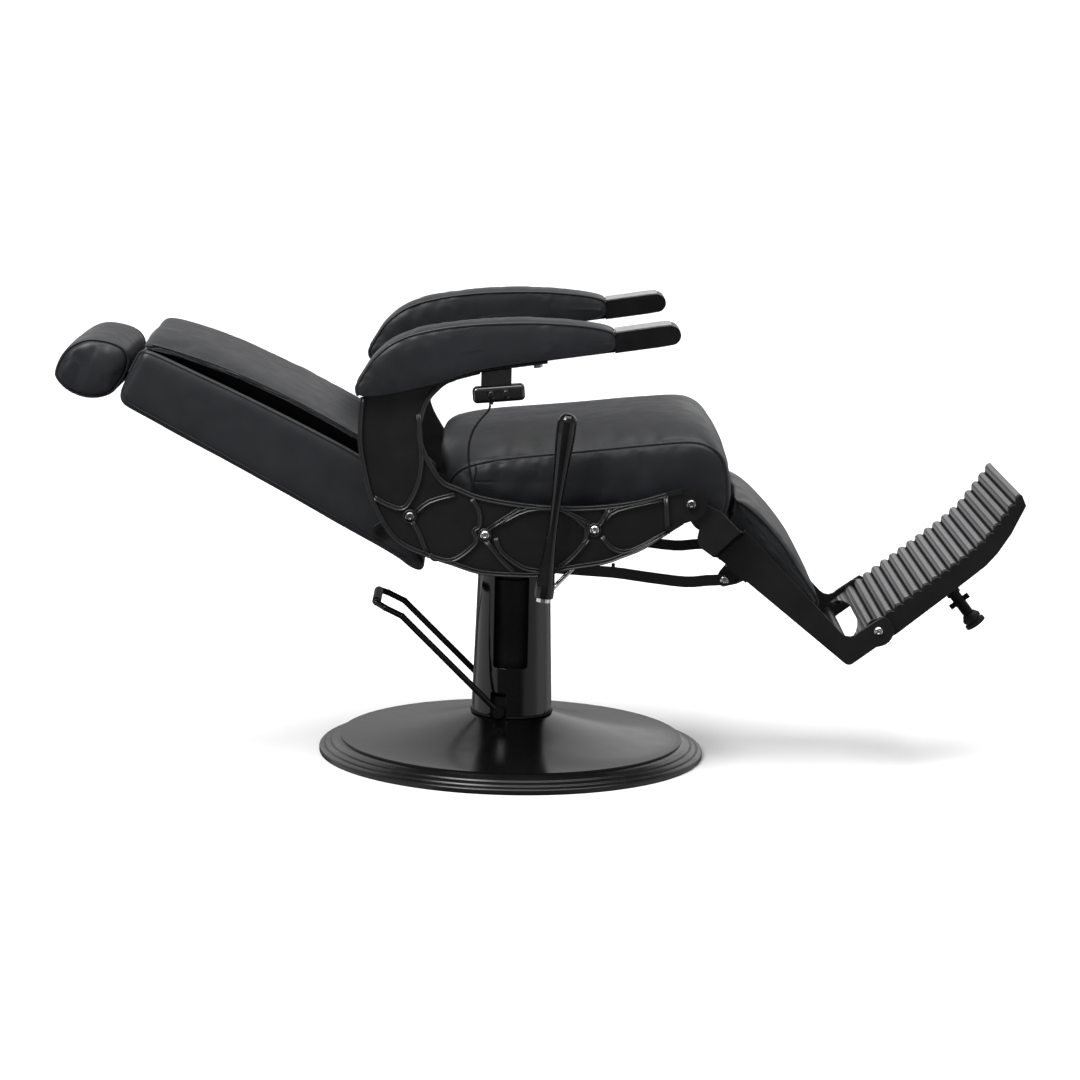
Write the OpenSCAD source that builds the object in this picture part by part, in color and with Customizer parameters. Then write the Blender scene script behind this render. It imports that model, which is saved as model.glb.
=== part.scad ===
// Hydraulic barber chair: reclining back, coupled leg rest, folding footplate.
// Millimetres. +X is the front of the chair, +Y its left side, +Z up.
// The origin is the centre of the base where it stands on the floor.

/* [Base] */
// Radius of the base at its outer edge
base_r = 342.5; // [330:0.5:360]
// Thickness of the steel floor plate
floor_plate_t = 8; // [6:1:10]
// Wall of the spun dome over the floor plate
dome_wall = 2.5; // [1.5:0.5:3]
// Height of the dome where it meets the column
dome_top = 72; // [66:1:74]
// How fast the dome flares out: 1 is a straight cone
dome_flare = 1.7; // [1:0.1:2.5]

/* [Column] */
// Outer radius of the column cover at its foot
column_foot_r = 71.5; // [70:0.5:75]
// Outer radius of the column cover at its top
column_top_r = 64; // [62:0.5:68]
// Height of the top edge of the column cover
column_top = 336; // [334:1:338]
// Wall of the column cover
column_wall = 3; // [2:0.5:4]
// Width of the open window in the right side of the cover
window_w = 60; // [50:1:66]
// Height of the lower edge of that window
window_foot = 163; // [150:1:200]

/* [Pump] */
// Radius of the piston rod
piston_r = 25; // [22:0.5:26]
// Outer radius of the pump cylinder
pump_r = 52; // [48:1:55]
// Height of the top of the pump cylinder
pump_top = 318; // [310:1:320]
// Radius of the pedal shaft
pedal_shaft_r = 8; // [7:0.5:9]
// Height of the pedal shaft above the floor
pedal_z = 87; // [85:1:90]
// Distance of the pedal shaft behind the column axis
pedal_back = 24; // [20:1:26]

/* [Pedal] */
// Diameter of the pedal loop rod
loop_d = 11; // [9:0.5:12]
// Distance from the middle plane to each arm of the loop
loop_y = 76; // [76:0.5:80]
// Reach of the loop behind its shaft
loop_reach = 218; // [200:1:230]
// Rise of the loop above its shaft
loop_rise = 190; // [170:1:200]

/* [Seat] */
// Depth of the side panel pockets under the ribs
pocket_depth = 6; // [3:0.5:6]
// Thickness of the side panel web
web_t = 6; // [5:0.5:6]
// Width of the raised ribs of the side panels
bead_w = 7.2; // [6:0.4:8]
// Half the width of the seat cushion
seat_half = 255; // [245:1:258]
// Gap between the seat cushion and the inner face of each side panel
seat_gap = 28; // [27:0.5:30]
// Drop of the seat crown from its middle to its piping
seat_crown = 28; // [15:1:35]
// Forward rise of the seat, degrees
seat_tilt = 5.2; // [4:0.1:6]

/* [Arms] */
// Distance from the outer face of a side panel in to the centre of its arm pad
arm_inset = 15; // [11:1:17]
// Width of an arm pad
arm_w = 78; // [70:1:78]
// Width of the bar at the tip of an arm
tip_w = 70; // [60:1:72]

/* [Back] */
// Recline angle of the back below the horizontal, degrees
back_tilt = 28.4; // [28:0.1:29]
// Half the width of the back at its lower end
back_half = 246; // [240:1:247]
// Half the width of the back at its top
back_top_half = 222; // [210:1:225]
// Length of the headrest pillow
pillow_len = 286; // [260:2:300]

/* [Leg rest] */
// Slope of the leg rest below the horizontal, degrees
leg_tilt = 45.9; // [45:0.1:46.5]
// Half the width of the calf pad
calf_half = 188; // [180:1:192]
// Distance from the middle plane to each link bar
link_y = 190; // [189:0.5:191]
// Height of the link bars
link_h = 19; // [16:0.5:20]

/* [Footplate] */
// Slope of the footplate above the horizontal, degrees
foot_tilt = 38; // [36:0.5:40]
// Half the width of the footplate
foot_half = 190; // [185:1:192]
// Distance between the ridges of the tread
ridge_pitch = 20; // [18:0.5:20]
// Number of ridges on the tread
ridge_count = 18; // [16:1:18]
// Height of the ridges
ridge_h = 8; // [4:0.5:9]

/* [Fit] */
// Radial clearance of every turning or sliding fit
fit = 0.05; // [0.02:0.01:0.09]
// Facets on round parts
round_fn = 64; // [48:8:96]

/* [Hidden] */
$fn = round_fn;
// Swivel hub: a flanged boss that hangs over the pump gland
gland_t = 14;
gland_top = pump_top + gland_t;
hub_gap = 13;
hub_h = 40;
hub_r = 40;
hub_flange_r = 75;
hub_flange_t = 10;
deck = gland_top + hub_gap + hub_h;
// Main pivots, as [x, height above the deck]
back_pivot = [-180, 83];
rear_bolt = [-53, 53.5];
front_bolt = [132, 66];
leg_pivot = [294, 113];
// Ends of the link bars, as [x, height above the deck]
link_front = [361, -33];
link_rear = [-137, 0];
// Hinge of the footplate, in the leg rest's own plane
foot_hinge = [396.3, 81.4];
// Panel planes, measured from the middle of the chair
web_inner = seat_half + seat_gap;
web_outer = web_inner + web_t;
panel_outer = web_outer + pocket_depth;
arm_y = panel_outer - arm_inset;
// Bolts
bolt_r = 6;
bolt_head_r = 8.3;
bolt_head_h = 4.5;
socket_af = 5;
// How far a welded joint stands proud of its rods
weld = 0.4;
// Back planes
hinge_plate_t = 6;
hinge_in = back_half;
hinge_out = hinge_in + hinge_plate_t;

// ---- geometry helpers ----

// Unit vector
function unit(v) = v / norm(v);
// Points on an arc about c, from angle a0 to a1
function arc(c, r, a0, a1, n = 8) =
    [for (i = [0:n]) let (a = a0 + (a1 - a0) * i / n) c + r * [cos(a), sin(a)]];
// One point on a Catmull-Rom span between b and c
function span(a, b, c, d, t) =
    (2 * b + (c - a) * t + (2 * a - 5 * b + 4 * c - d) * t * t
        + (3 * b - a - 3 * c + d) * t * t * t) / 2;
// Smooth open curve through the points p
function smooth(p, n = 3) =
    let (m = len(p) - 1)
    [for (i = [0:m - 1], k = [0:n - 1])
        span(p[max(i - 1, 0)], p[i], p[i + 1], p[min(i + 2, m)], k / n), p[m]];
// Left-hand normal of the line p at its point i
function normal(p, i) =
    let (d = unit(p[min(i + 1, len(p) - 1)] - p[max(i - 1, 0)])) [-d[1], d[0]];
// The line p moved to its left by d
function moved(p, d) = [for (i = [0:len(p) - 1]) p[i] + d * normal(p, i)];
// The list p turned back to front
function reversed(p) = [for (i = [len(p) - 1:-1:0]) p[i]];
// Closed ribbon outline of width w along the line p
function ribbon(p, w) = concat(moved(p, w / 2), reversed(moved(p, -w / 2)));
// Height read off the polyline p at x
function height_at(p, x, i = 0) =
    i >= len(p) - 2 || x <= p[i + 1][0]
        ? p[i][1] + (x - p[i][0]) * (p[i + 1][1] - p[i][1]) / (p[i + 1][0] - p[i][0])
        : height_at(p, x, i + 1);

// A flat shape drawn in x and z, standing between y0 and y1
module slab(y0, y1) {
    translate([0, y1, 0])
        rotate([90, 0, 0])
            linear_extrude(y1 - y0)
                children();
}
// The same shape on the right and on the left of the chair
module both_sides() {
    children();
    mirror([0, 1, 0])
        children();
}
// Shapes drawn for the right side, put on the right (-1) or left (1)
module on_side(side) {
    if (side < 0)
        children();
    else
        mirror([0, 1, 0])
            children();
}
// A straight round rod from a to b
module rod(a, b, r) {
    d = b - a;
    translate(a)
        rotate([0, acos(d[2] / norm(d)), atan2(d[1], d[0])])
            cylinder(h = norm(d), r = r);
}
// A pin along y at [x, z]
module pin(at, y0, y1, r) {
    translate([at[0], y1, at[1]])
        rotate([90, 0, 0])
            cylinder(h = y1 - y0, r = r);
}
// A flat bar with round ends between two points of a plane
module bar_2d(a, b, w) {
    polygon(ribbon([a, b], w));
    translate(a)
        circle(w / 2);
    translate(b)
        circle(w / 2);
}
// A button-head socket bolt at [x, z]: head outside y0, shank inwards to y1
module side_bolt(at, y0, y1, r = bolt_r, head = bolt_head_r) {
    difference() {
        union() {
            pin(at, y0 - bolt_head_h / 2, y0, head);
            translate([at[0], y0 - bolt_head_h / 2, at[1]])
                rotate([90, 0, 0])
                    cylinder(h = bolt_head_h / 2, r1 = head, r2 = head * 0.72);
            pin(at, y0, y1, r);
        }
        translate([at[0], y0 - bolt_head_h / 2, at[1]])
            rotate([90, 0, 0])
                cylinder(h = bolt_head_h, r = socket_af / sqrt(3) * 1.2, $fn = 6);
    }
}
// Places whose drawing is done along the back, the leg rest or the footplate
module at_deck() {
    translate([0, 0, deck])
        children();
}
module at_back() {
    translate([back_pivot[0], 0, deck + back_pivot[1]])
        rotate([0, back_tilt, 0])
            children();
}
module at_leg() {
    translate([leg_pivot[0], 0, deck + leg_pivot[1]])
        rotate([0, leg_tilt, 0])
            children();
}
module at_foot() {
    at_leg()
        translate([foot_hinge[0], 0, foot_hinge[1]])
            rotate([0, -leg_tilt - foot_tilt, 0])
                children();
}

// ---- base ----

rim_w = 37.5;
plate_r = base_r - 12.5;
dome_r = base_r - rim_w;
rim_top = 27.5;
flange_r = 95;
flange_t = 12;
flange_bolt_circle = 80;
dome_hole_r = 66;

module base_plate() {
    color("#1b1b1d")
        cylinder(h = floor_plate_t, r = plate_r, $fn = 96);
}
module base_rim() {
    color("#141415")
        rotate_extrude($fn = 96)
            polygon([[plate_r, 0], [base_r, 0], [base_r, 8], [base_r - 2, 10.2],
                [base_r - 8, 13], [base_r - 9, 11.8], [base_r - 10.4, 12.4], [base_r - 11, 14.6],
                [base_r - 19, 18.6], [base_r - 20, 17.4], [base_r - 21.4, 18], [base_r - 22, 20.2],
                [base_r - 29, 23.2], [dome_r, rim_top], [dome_r - 6, rim_top],
                [dome_r - 6, floor_plate_t], [plate_r, floor_plate_t]]);
}
// Dome height at radius r, on its lower face
function dome_z(r) = rim_top
    + (dome_top - rim_top) * pow((dome_r - r) / (dome_r - dome_hole_r), dome_flare);
module base_cover() {
    steps = 28;
    radii = [for (i = [0:steps]) dome_r + (dome_hole_r - dome_r) * i / steps];
    color("#1c1c1e")
        rotate_extrude($fn = 96)
            polygon(concat([for (r = radii) [r, dome_z(r)]],
                reversed([for (r = radii) [r, dome_z(r) + dome_wall]])));
}

// ---- column and pump ----

gasket_t = 2.5;
cover_foot = dome_top + dome_wall + gasket_t;
shaft_slot_w = 27;
shaft_slot_top = 118;

module column_gasket() {
    color("#0f0f10")
        translate([0, 0, dome_top + dome_wall])
            difference() {
                cylinder(h = gasket_t, r = column_foot_r + 2);
                translate([0, 0, -1])
                    cylinder(h = gasket_t + 2, r = dome_hole_r);
                translate([-pedal_back - shaft_slot_w / 2, -100, -1])
                    cube([shaft_slot_w, 200, gasket_t + 2]);
            }
}
module column_cover() {
    wall_h = column_top - cover_foot;
    corner = 6;
    color("#101011")
        difference() {
            translate([0, 0, cover_foot])
                cylinder(h = wall_h, r1 = column_foot_r, r2 = column_top_r, $fn = 96);
            translate([0, 0, cover_foot - 0.01])
                cylinder(h = wall_h + 0.02, r1 = column_foot_r - column_wall,
                    r2 = column_top_r - column_wall, $fn = 96);
            slab(-100, -20)
                translate([-window_w / 2 - 4, window_foot]) {
                    translate([corner, corner])
                        circle(corner);
                    translate([window_w - corner, corner])
                        circle(corner);
                    translate([corner, 0])
                        square([window_w - 2 * corner, corner + 1]);
                    translate([0, corner])
                        square([window_w, column_top]);
                }
            translate([-pedal_back - shaft_slot_w / 2, -100, cover_foot - 1])
                cube([shaft_slot_w, 200, shaft_slot_top - cover_foot + 1]);
        }
}
chamber_r = piston_r + 5;
chamber_foot = pedal_z + 18;
piston_head_h = 20;
pump_foot_r = 60;
pump_foot_top = pedal_z + 23;

module pump_body() {
    color("#1a1a1b")
        difference() {
            union() {
                translate([0, 0, floor_plate_t])
                    cylinder(h = flange_t, r = flange_r);
                cylinder(h = pump_foot_top, r = pump_foot_r);
                cylinder(h = pump_top, r = pump_r);
            }
            translate([0, 0, -1])
                cylinder(h = floor_plate_t + 1, r = 100);
            translate([0, 0, chamber_foot])
                cylinder(h = pump_top, r = chamber_r);
            pin([-pedal_back, pedal_z], -100, 100, pedal_shaft_r + fit);
            for (a = [45:90:315])
                rotate(a)
                    translate([flange_bolt_circle, 0, 0])
                        cylinder(h = 40, r = 5.5);
        }
}
module pump_gland() {
    lip_t = 4;
    color("#2a2a2c")
        difference() {
            union() {
                translate([0, 0, pump_top])
                    cylinder(h = gland_t, r = pump_r - 6);
                translate([0, 0, pump_top - lip_t])
                    cylinder(h = lip_t, r = chamber_r);
            }
            translate([0, 0, pump_top - lip_t - 1])
                cylinder(h = gland_t + lip_t + 2, r = piston_r + fit);
        }
}
module flange_bolts() {
    color("#8d9092")
        for (a = [45:90:315])
            rotate(a)
                translate([flange_bolt_circle, 0, floor_plate_t]) {
                    cylinder(h = flange_t, r = 5.5);
                    translate([0, 0, flange_t])
                        cylinder(h = 7, r = 9, $fn = 6);
                }
}
module piston_rod() {
    head_foot = chamber_foot + 3;
    color("#c9cccf")
        union() {
            translate([0, 0, head_foot])
                cylinder(h = deck - 0.2 - head_foot, r = piston_r);
            translate([0, 0, head_foot])
                cylinder(h = piston_head_h, r = chamber_r - fit);
        }
}

// ---- foot pump pedal ----

eye_w = 8;
eye_r = 12;
loop_r = loop_d / 2;
pedal_axis = [-pedal_back, pedal_z];
loop_bend = pedal_axis + [-0.79 * loop_reach, 0.887 * loop_rise];
loop_rear = pedal_axis + [-0.926 * loop_reach, 0.962 * loop_rise];
loop_end = pedal_axis + [-loop_reach, loop_rise];
shaft_half = loop_y + eye_w / 2;

// The point of a plane curve, in space at the given y
function at_y(p, y) = [p[0], y, p[1]];

module pedal_shaft() {
    color("#6e7174")
        pin(pedal_axis, -shaft_half, shaft_half, pedal_shaft_r);
}
module pedal_loop() {
    arm_start = pedal_axis + eye_r * 0.6 * unit(loop_bend - pedal_axis);
    inner = loop_y - loop_d;
    color("#141415")
        union() {
            both_sides() {
                difference() {
                    pin(pedal_axis, -loop_y - eye_w / 2, -loop_y + eye_w / 2, eye_r);
                    pin(pedal_axis, -loop_y - eye_w, -loop_y + eye_w, pedal_shaft_r);
                }
                difference() {
                    rod(at_y(arm_start, -loop_y), at_y(loop_bend, -loop_y), loop_r);
                    pin(pedal_axis, -loop_y - eye_w, -loop_y + eye_w, pedal_shaft_r);
                }
                translate(at_y(loop_bend, -loop_y))
                    sphere(loop_r + weld, $fn = 32);
                rod(at_y(loop_bend, -loop_y), at_y(loop_rear, -loop_y), loop_r);
                translate(at_y(loop_rear, -loop_y))
                    sphere(loop_r + weld, $fn = 32);
                rod(at_y(loop_rear, -loop_y), at_y(loop_end, -inner), loop_r);
                translate(at_y(loop_end, -inner))
                    sphere(loop_r + weld, $fn = 32);
            }
            pin(loop_end, -inner, inner, loop_r);
        }
}
tread_half = loop_y - 2.2 * loop_d;
module pedal_tread() {
    color("#101011")
        difference() {
            pin(loop_end, -tread_half, tread_half, loop_r + 2.5);
            pin(loop_end, -tread_half - 1, tread_half + 1, loop_r);
        }
}
module pedal_bolts() {
    color("#9a9da0")
        both_sides()
            difference() {
                pin(pedal_axis, -shaft_half - 4, -shaft_half, 8);
                translate([pedal_axis[0], -shaft_half - 1.5, pedal_axis[1]])
                    rotate([90, 0, 0])
                        cylinder(h = 5, r = socket_af / sqrt(3) * 1.2, $fn = 6);
            }
}

// ---- seat carrier ----

plate_half_x = 95;
plate_half_y = 120;
plate_t = 8;
rail_y = 95;
rail_w = 30;
rail_h = 33;
rail_rear = -75;
rail_front = 200;
tube_r = 12.5;
board_t = 12;
board_foot = 95;
board_top = board_foot + board_t;
lever_axis = [110, 3];
lever_shaft_r = 6;

module swivel_hub() {
    color("#2b2b2d")
        at_deck()
            difference() {
                union() {
                    translate([0, 0, -hub_h])
                        cylinder(h = hub_h, r = hub_r);
                    translate([0, 0, -hub_flange_t])
                        cylinder(h = hub_flange_t, r = hub_flange_r);
                }
                translate([0, 0, -hub_h - 1])
                    cylinder(h = hub_h + 2, r = piston_r + fit);
            }
}
// A cross tube from panel to panel, tapped at both ends for the panel bolts
module cross_tube(at) {
    difference() {
        pin(at, -web_inner, web_inner, tube_r);
        pin(at, -web_inner - 1, -web_inner + 40, bolt_r);
        pin(at, web_inner - 40, web_inner + 1, bolt_r);
    }
}
module seat_frame() {
    color("#1d1d1f")
        at_deck()
            difference() {
                union() {
                    translate([-plate_half_x, -plate_half_y, 0])
                        cube([2 * plate_half_x, 2 * plate_half_y, plate_t]);
                    both_sides() {
                        translate([rail_rear, -rail_y - rail_w, plate_t])
                            cube([rail_front - rail_rear, rail_w, rail_h]);
                        for (bolt = [rear_bolt, front_bolt])
                            translate([bolt[0] - 12, -rail_y - rail_w, plate_t + rail_h - 1])
                                cube([24, rail_w, bolt[1] - plate_t - rail_h + 1]);
                        for (x = [-20, 170])
                            translate([x, -rail_y - rail_w + 4, plate_t + rail_h - 1])
                                cube([22, 22, board_foot - plate_t - rail_h + 1]);
                    }
                    cross_tube(rear_bolt);
                    cross_tube(front_bolt);
                    pin(lever_axis, -140, -rail_y, 11);
                }
                pin(lever_axis, -141, -rail_y + 1, lever_shaft_r + fit);
            }
}
module seat_board() {
    color("#b08a5a")
        at_deck()
            translate([-105, -seat_half + 8, board_foot])
                cube([385, 2 * (seat_half - 8), board_t]);
}
nose_r = 78;
nose_foot = [300, 60];
module seat_cushion() {
    crown = [[-118, board_top], [-122, 146], [-130, 175], [-122, 195], [-100, 208], [-29, 221],
        [115, 233], [222, 245], [287, 250], [312, 245], [335, 227], [352, 200], [368, 160]];
    crown_mid = 224;
    steps = 12;
    section = [for (i = [-steps:steps])
        let (y = seat_half * i / steps) [y, crown_mid + 3 - seat_crown * pow(abs(i / steps), 4)]];
    color("#202123")
        at_deck()
            intersection() {
                slab(-seat_half, seat_half)
                    polygon(concat(smooth(crown, 3), arc(leg_pivot, nose_r, 8, -60),
                        [nose_foot, [285, board_top]]));
                rotate([0, -seat_tilt, 0])
                    translate([-300, 0, 0])
                        rotate([90, 0, 90])
                            linear_extrude(800)
                                polygon(concat([[-seat_half, -60]], section, [[seat_half, -60]]));
            }
}

// ---- side panels ----

// Rear and lower edge of a panel, from the arm down and forward to the ear
lower_edge = [[-266, 283], [-269, 245], [-269, 206], [-263, 170], [-252, 123], [-238, 90],
    [-219, 57], [-195, 33], [-154, 15], [-109, 1], [-59, -14], [-2, -17], [45, -16], [86, -4],
    [148, 7], [183, 20], [217, 35], [254, 60], [283, 79]];
// Upper edge, from the ear back and up the neck to the arm
upper_edge = [[279, 138.5], [252, 132], [214, 120], [180, 113], [132, 107], [77, 105], [8, 109],
    [-61, 120], [-96, 133], [-124, 145], [-143, 171], [-158, 201], [-163, 232], [-158, 258],
    [-150, 280], [-136, 297], [-122, 309], [-105, 316], [-66, 327]];
ear_r = 28.5;
rib_step = 0.03;
// Top of a panel, where it carries its arm pad
arm_seat = [[-150, 307], [-105, 322], [-62, 335.5]];
// Underside of an arm pad, from its rear end to the arm tip
pad_under = concat([lower_edge[0]], arm_seat, [[159, 368.7]]);
flange_front = 47;
pad_flange_t = 4;
panel_ribs = [
    [[-168, 258], [-163, 202], [-162, 173], [-167, 140], [-182, 106], [-196, 96], [-220, 103],
        [-241, 114]],
    [[-170, 90], [-147, 109], [-104, 122]],
    [[-176, 74], [-164, 54], [-150, 20]],
    [[-76, 115], [-64, 96], [-62, 70], [-72, 60], [-67, 43], [-84, 24], [-109, 9], [-136, 13],
        [-145, 18]],
    [[-51, 61], [7, 101]],
    [[-51, 44], [-24, 11], [0, -11]],
    [[-34, 49], [-24, 25], [12, -1], [43, -6]],
    [[-28, 74], [19, 98], [77, 99], [112, 75], [119, 65], [113, 40], [79, 1]],
    [[124, 77], [84, 95]],
    [[138, 74], [143, 79], [156, 104]],
    [[122, 50], [96, 19], [69, -3]],
    [[145, 55], [165, 34], [196, 32], [254, 64]],
    [[151, 84], [170, 101], [245, 120]],
    [[251, 126], [256, 62]]];

module panel_face() {
    polygon(concat(smooth(lower_edge), arc(leg_pivot, ear_r, -70, 115), smooth(upper_edge),
        reversed(arm_seat)));
}
// Raised ribs of the right panel; each is a hair lower than the last, as cast ribs are
module panel_beads() {
    edges = [moved(smooth(lower_edge), bead_w / 2), moved(smooth(upper_edge), bead_w / 2)];
    lines = concat(edges, [for (rib = panel_ribs) smooth(rib)]);
    for (i = [0:len(lines) - 1])
        slab(-panel_outer + i * rib_step, -web_outer + web_t / 2)
            polygon(ribbon(lines[i], bead_w));
    for (boss = [back_pivot, rear_bolt, front_bolt, leg_pivot])
        pin(boss, -panel_outer - rib_step, -web_outer + web_t / 2, bolt_head_r + 3);
}
module side_panel(side) {
    flange_top = concat(arm_seat, [[flange_front, height_at(pad_under, flange_front)]]);
    color("#17181a")
        at_deck()
            on_side(side)
                difference() {
                    union() {
                        slab(-web_outer, -web_inner)
                            panel_face();
                        panel_beads();
                        slab(-arm_y - 23, -arm_y + 25)
                            polygon(concat(flange_top,
                                [for (p = reversed(flange_top)) p - [0, pad_flange_t]]));
                        pin(back_pivot, -web_inner, -hinge_out - 1, 14);
                        pin(leg_pivot, -web_inner, -bracket_out - 0.5, 14);
                    }
                    slab(-panel_outer - 1, -web_inner + 1)
                        polygon(concat(arm_seat, [[arm_seat[2][0], 350], [arm_seat[0][0], 350]]));
                    for (bolt = [back_pivot, leg_pivot, rear_bolt, front_bolt])
                        pin(bolt, -panel_outer - 1, -hinge_out + 1, bolt_r);
                    for (x = nut_x)
                        translate([x, -arm_y, height_at(pad_under, x)])
                            rotate([0, -arm_slope, 0])
                                translate([0, 0, -pad_flange_t * 2])
                                    cylinder(h = pad_flange_t * 4, r = arm_stud_r);
                }
}
module side_panel_right() {
    side_panel(-1);
}
module side_panel_left() {
    side_panel(1);
}
module panel_bolts() {
    color("#d5d8da")
        at_deck()
            both_sides()
                for (bolt = [rear_bolt, front_bolt])
                    side_bolt(bolt, -panel_outer, -web_inner + 30);
}
module pivot_bolts() {
    color("#d5d8da")
        at_deck()
            both_sides() {
                side_bolt(back_pivot, -panel_outer, -hinge_in - 0.3);
                side_bolt(leg_pivot, -panel_outer, -bracket_in + 8);
                pin(leg_pivot, -bracket_in + 0.5, -bracket_in + 8, 10);
            }
}

// ---- arms ----

arm_stud_r = 4;
nut_x = [-50, 30];
tip_rear = pad_under[4][0];
tip_under = pad_under[4][1];
arm_slope = atan((tip_under - arm_seat[2][1]) / (tip_rear - arm_seat[2][0]));
pad_in = arm_y - arm_w / 2;
pad_out = arm_y + arm_w / 2;
core_w = 36;
core_t = 10;
core_rear = -60;
tip_top = 405;

module arm_pad(side) {
    edge = [[-277, 301], [-265, 319], [-243, 356], [-205, 386], [-148, 403], [-71, 414],
        [24, 418], [82, 416], [127, 412], [155, 405]];
    crown = [[-270, 310], [-251, 348], [-224, 378], [-186, 398], [-148, 408], [-71, 419],
        [5, 424], [82, 421], [120, 416], [154, 407]];
    core_foot = [for (x = [core_rear, tip_rear + 1]) [x, height_at(pad_under, x)]];
    color("#1f2022")
        at_deck()
            on_side(side)
                difference() {
                    union() {
                        slab(-pad_out, -pad_in)
                            polygon(concat(pad_under, reversed(smooth(edge, 3))));
                        slab(-pad_out + 10, -pad_in - 10)
                            polygon(concat([pad_under[4]], reversed(smooth(crown, 3))));
                    }
                    slab(-arm_y - core_w / 2, -arm_y + core_w / 2)
                        polygon([core_foot[0] - [0, 1], core_foot[1] - [0, 1],
                            core_foot[1] + [0, core_t], core_foot[0] + [0, core_t]]);
                }
}
module arm_pad_right() {
    arm_pad(-1);
}
module arm_pad_left() {
    arm_pad(1);
}
tip_front = 234;
module arm_tip(side) {
    color("#161617")
        at_deck()
            on_side(side)
                difference() {
                    union() {
                        slab(-arm_y - tip_w / 2, -arm_y + tip_w / 2)
                            polygon(concat([[tip_rear, tip_under], [235, 380.5], [252, 384]],
                                arc([252, 400.5], 16.5, -80, 90, 8), [[tip_front, 417 - 2],
                                [tip_rear, tip_top - 2]]));
                        slab(-arm_y - core_w / 2, -arm_y + core_w / 2)
                            polygon([[core_rear, height_at(pad_under, core_rear)],
                                [tip_rear + 1, height_at(pad_under, tip_rear + 1)],
                                [tip_rear + 1, height_at(pad_under, tip_rear + 1) + core_t],
                                [core_rear, height_at(pad_under, core_rear) + core_t]]);
                    }
                    for (x = nut_x)
                        translate([x, -arm_y, height_at(pad_under, x)])
                            rotate([0, -arm_slope, 0])
                                translate([0, 0, -4])
                                    cylinder(h = 4 + core_t - 3, r = arm_stud_r);
                }
}
module arm_tip_right() {
    arm_tip(-1);
}
module arm_tip_left() {
    arm_tip(1);
}
module arm_cap(side) {
    color("#b9bcbf")
        at_deck()
            on_side(side)
                slab(-arm_y - tip_w / 2, -arm_y + tip_w / 2)
                    polygon([[tip_rear, tip_top - 2], [tip_front, 415], [252, 417], [252, 419],
                        [tip_front, 417], [tip_rear, tip_top]]);
}
module arm_cap_right() {
    arm_cap(-1);
}
module arm_cap_left() {
    arm_cap(1);
}
module arm_nuts() {
    color("#8d9092")
        at_deck()
            both_sides()
                for (x = nut_x)
                    translate([x, -arm_y, height_at(pad_under, x)])
                        rotate([0, -arm_slope, 0]) {
                            translate([0, 0, -pad_flange_t])
                                cylinder(h = pad_flange_t + core_t - 3.2, r = arm_stud_r);
                            translate([0, 0, -pad_flange_t - 7])
                                cylinder(h = 7, r = 7.5, $fn = 6);
                        }
}

// ---- handset with its lead ----

handset_y = arm_y + 20;
handset_t = 24;
handset_len = 88;
handset_h = 28;
handset_mid = [-34, 296];
handset_tilt = 5.5;
button_r = 6;
button_x = 12.5;
button_depth = 6;
lead_r = 2;
lead_start = 276;
lead_foot = 101;
grommet_l = 11;

module at_handset() {
    at_deck()
        translate([handset_mid[0], -handset_y, handset_mid[1]])
            rotate([0, -handset_tilt, 0])
                children();
}
module handset_bracket() {
    under = [for (x = [-64, -13]) [x, height_at(pad_under, x) - pad_flange_t]];
    foot = [for (x = [-64, -13]) [x, handset_mid[1] + handset_h / 2 / cos(handset_tilt)
        + (x - handset_mid[0]) * tan(handset_tilt)]];
    color("#1a1a1b")
        at_deck()
            slab(-handset_y - 10, -handset_y + 10)
                polygon([foot[0], foot[1], under[1], under[0]]);
}
module handset_body() {
    corner = 8;
    color("#111112")
        difference() {
            union() {
                at_handset()
                    slab(-handset_t / 2, handset_t / 2) {
                        square([handset_len - 2 * corner, handset_h], center = true);
                        square([handset_len, handset_h - 2 * corner], center = true);
                        for (x = [-1, 1], z = [-1, 1])
                            translate([x * (handset_len / 2 - corner),
                                z * (handset_h / 2 - corner)])
                                circle(corner);
                    }
                at_deck()
                    translate([-48, -handset_y, lead_start])
                        cylinder(h = 10, r = 3.5);
            }
            at_handset()
                for (x = [-button_x, button_x])
                    pin([x, 0], -handset_t / 2 - 1, -handset_t / 2 + button_depth,
                        button_r + fit);
        }
}
// A push button that stands proud of the handset; its travel is the gap behind it
module button(x) {
    color("#3a3b3d")
        at_handset()
            union() {
                pin([x, 0], -handset_t / 2 - 1.5, -handset_t / 2 + button_depth - 2, button_r);
                translate([x, -handset_t / 2 - 1.5, 0])
                    rotate([90, 0, 0])
                        cylinder(h = 1.5, r1 = button_r, r2 = button_r - 2);
            }
}
module button_front() {
    button(button_x);
}
module button_rear() {
    button(-button_x);
}
lead_route = [for (p = [[-48, 0, 276], [-50, 0, 268], [-58, 0.04, 258], [-69, 0.07, 244],
        [-78, 0.18, 226], [-83, 0.32, 202], [-82, 0.54, 174], [-78, 0.79, 146], [-75, 0.93, 120],
        [-75, 1, 108], [-75, 1, lead_foot]])
    [p[0], p[1] * (handset_y - web_inner + grommet_l) - handset_y, p[2]]];
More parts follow.
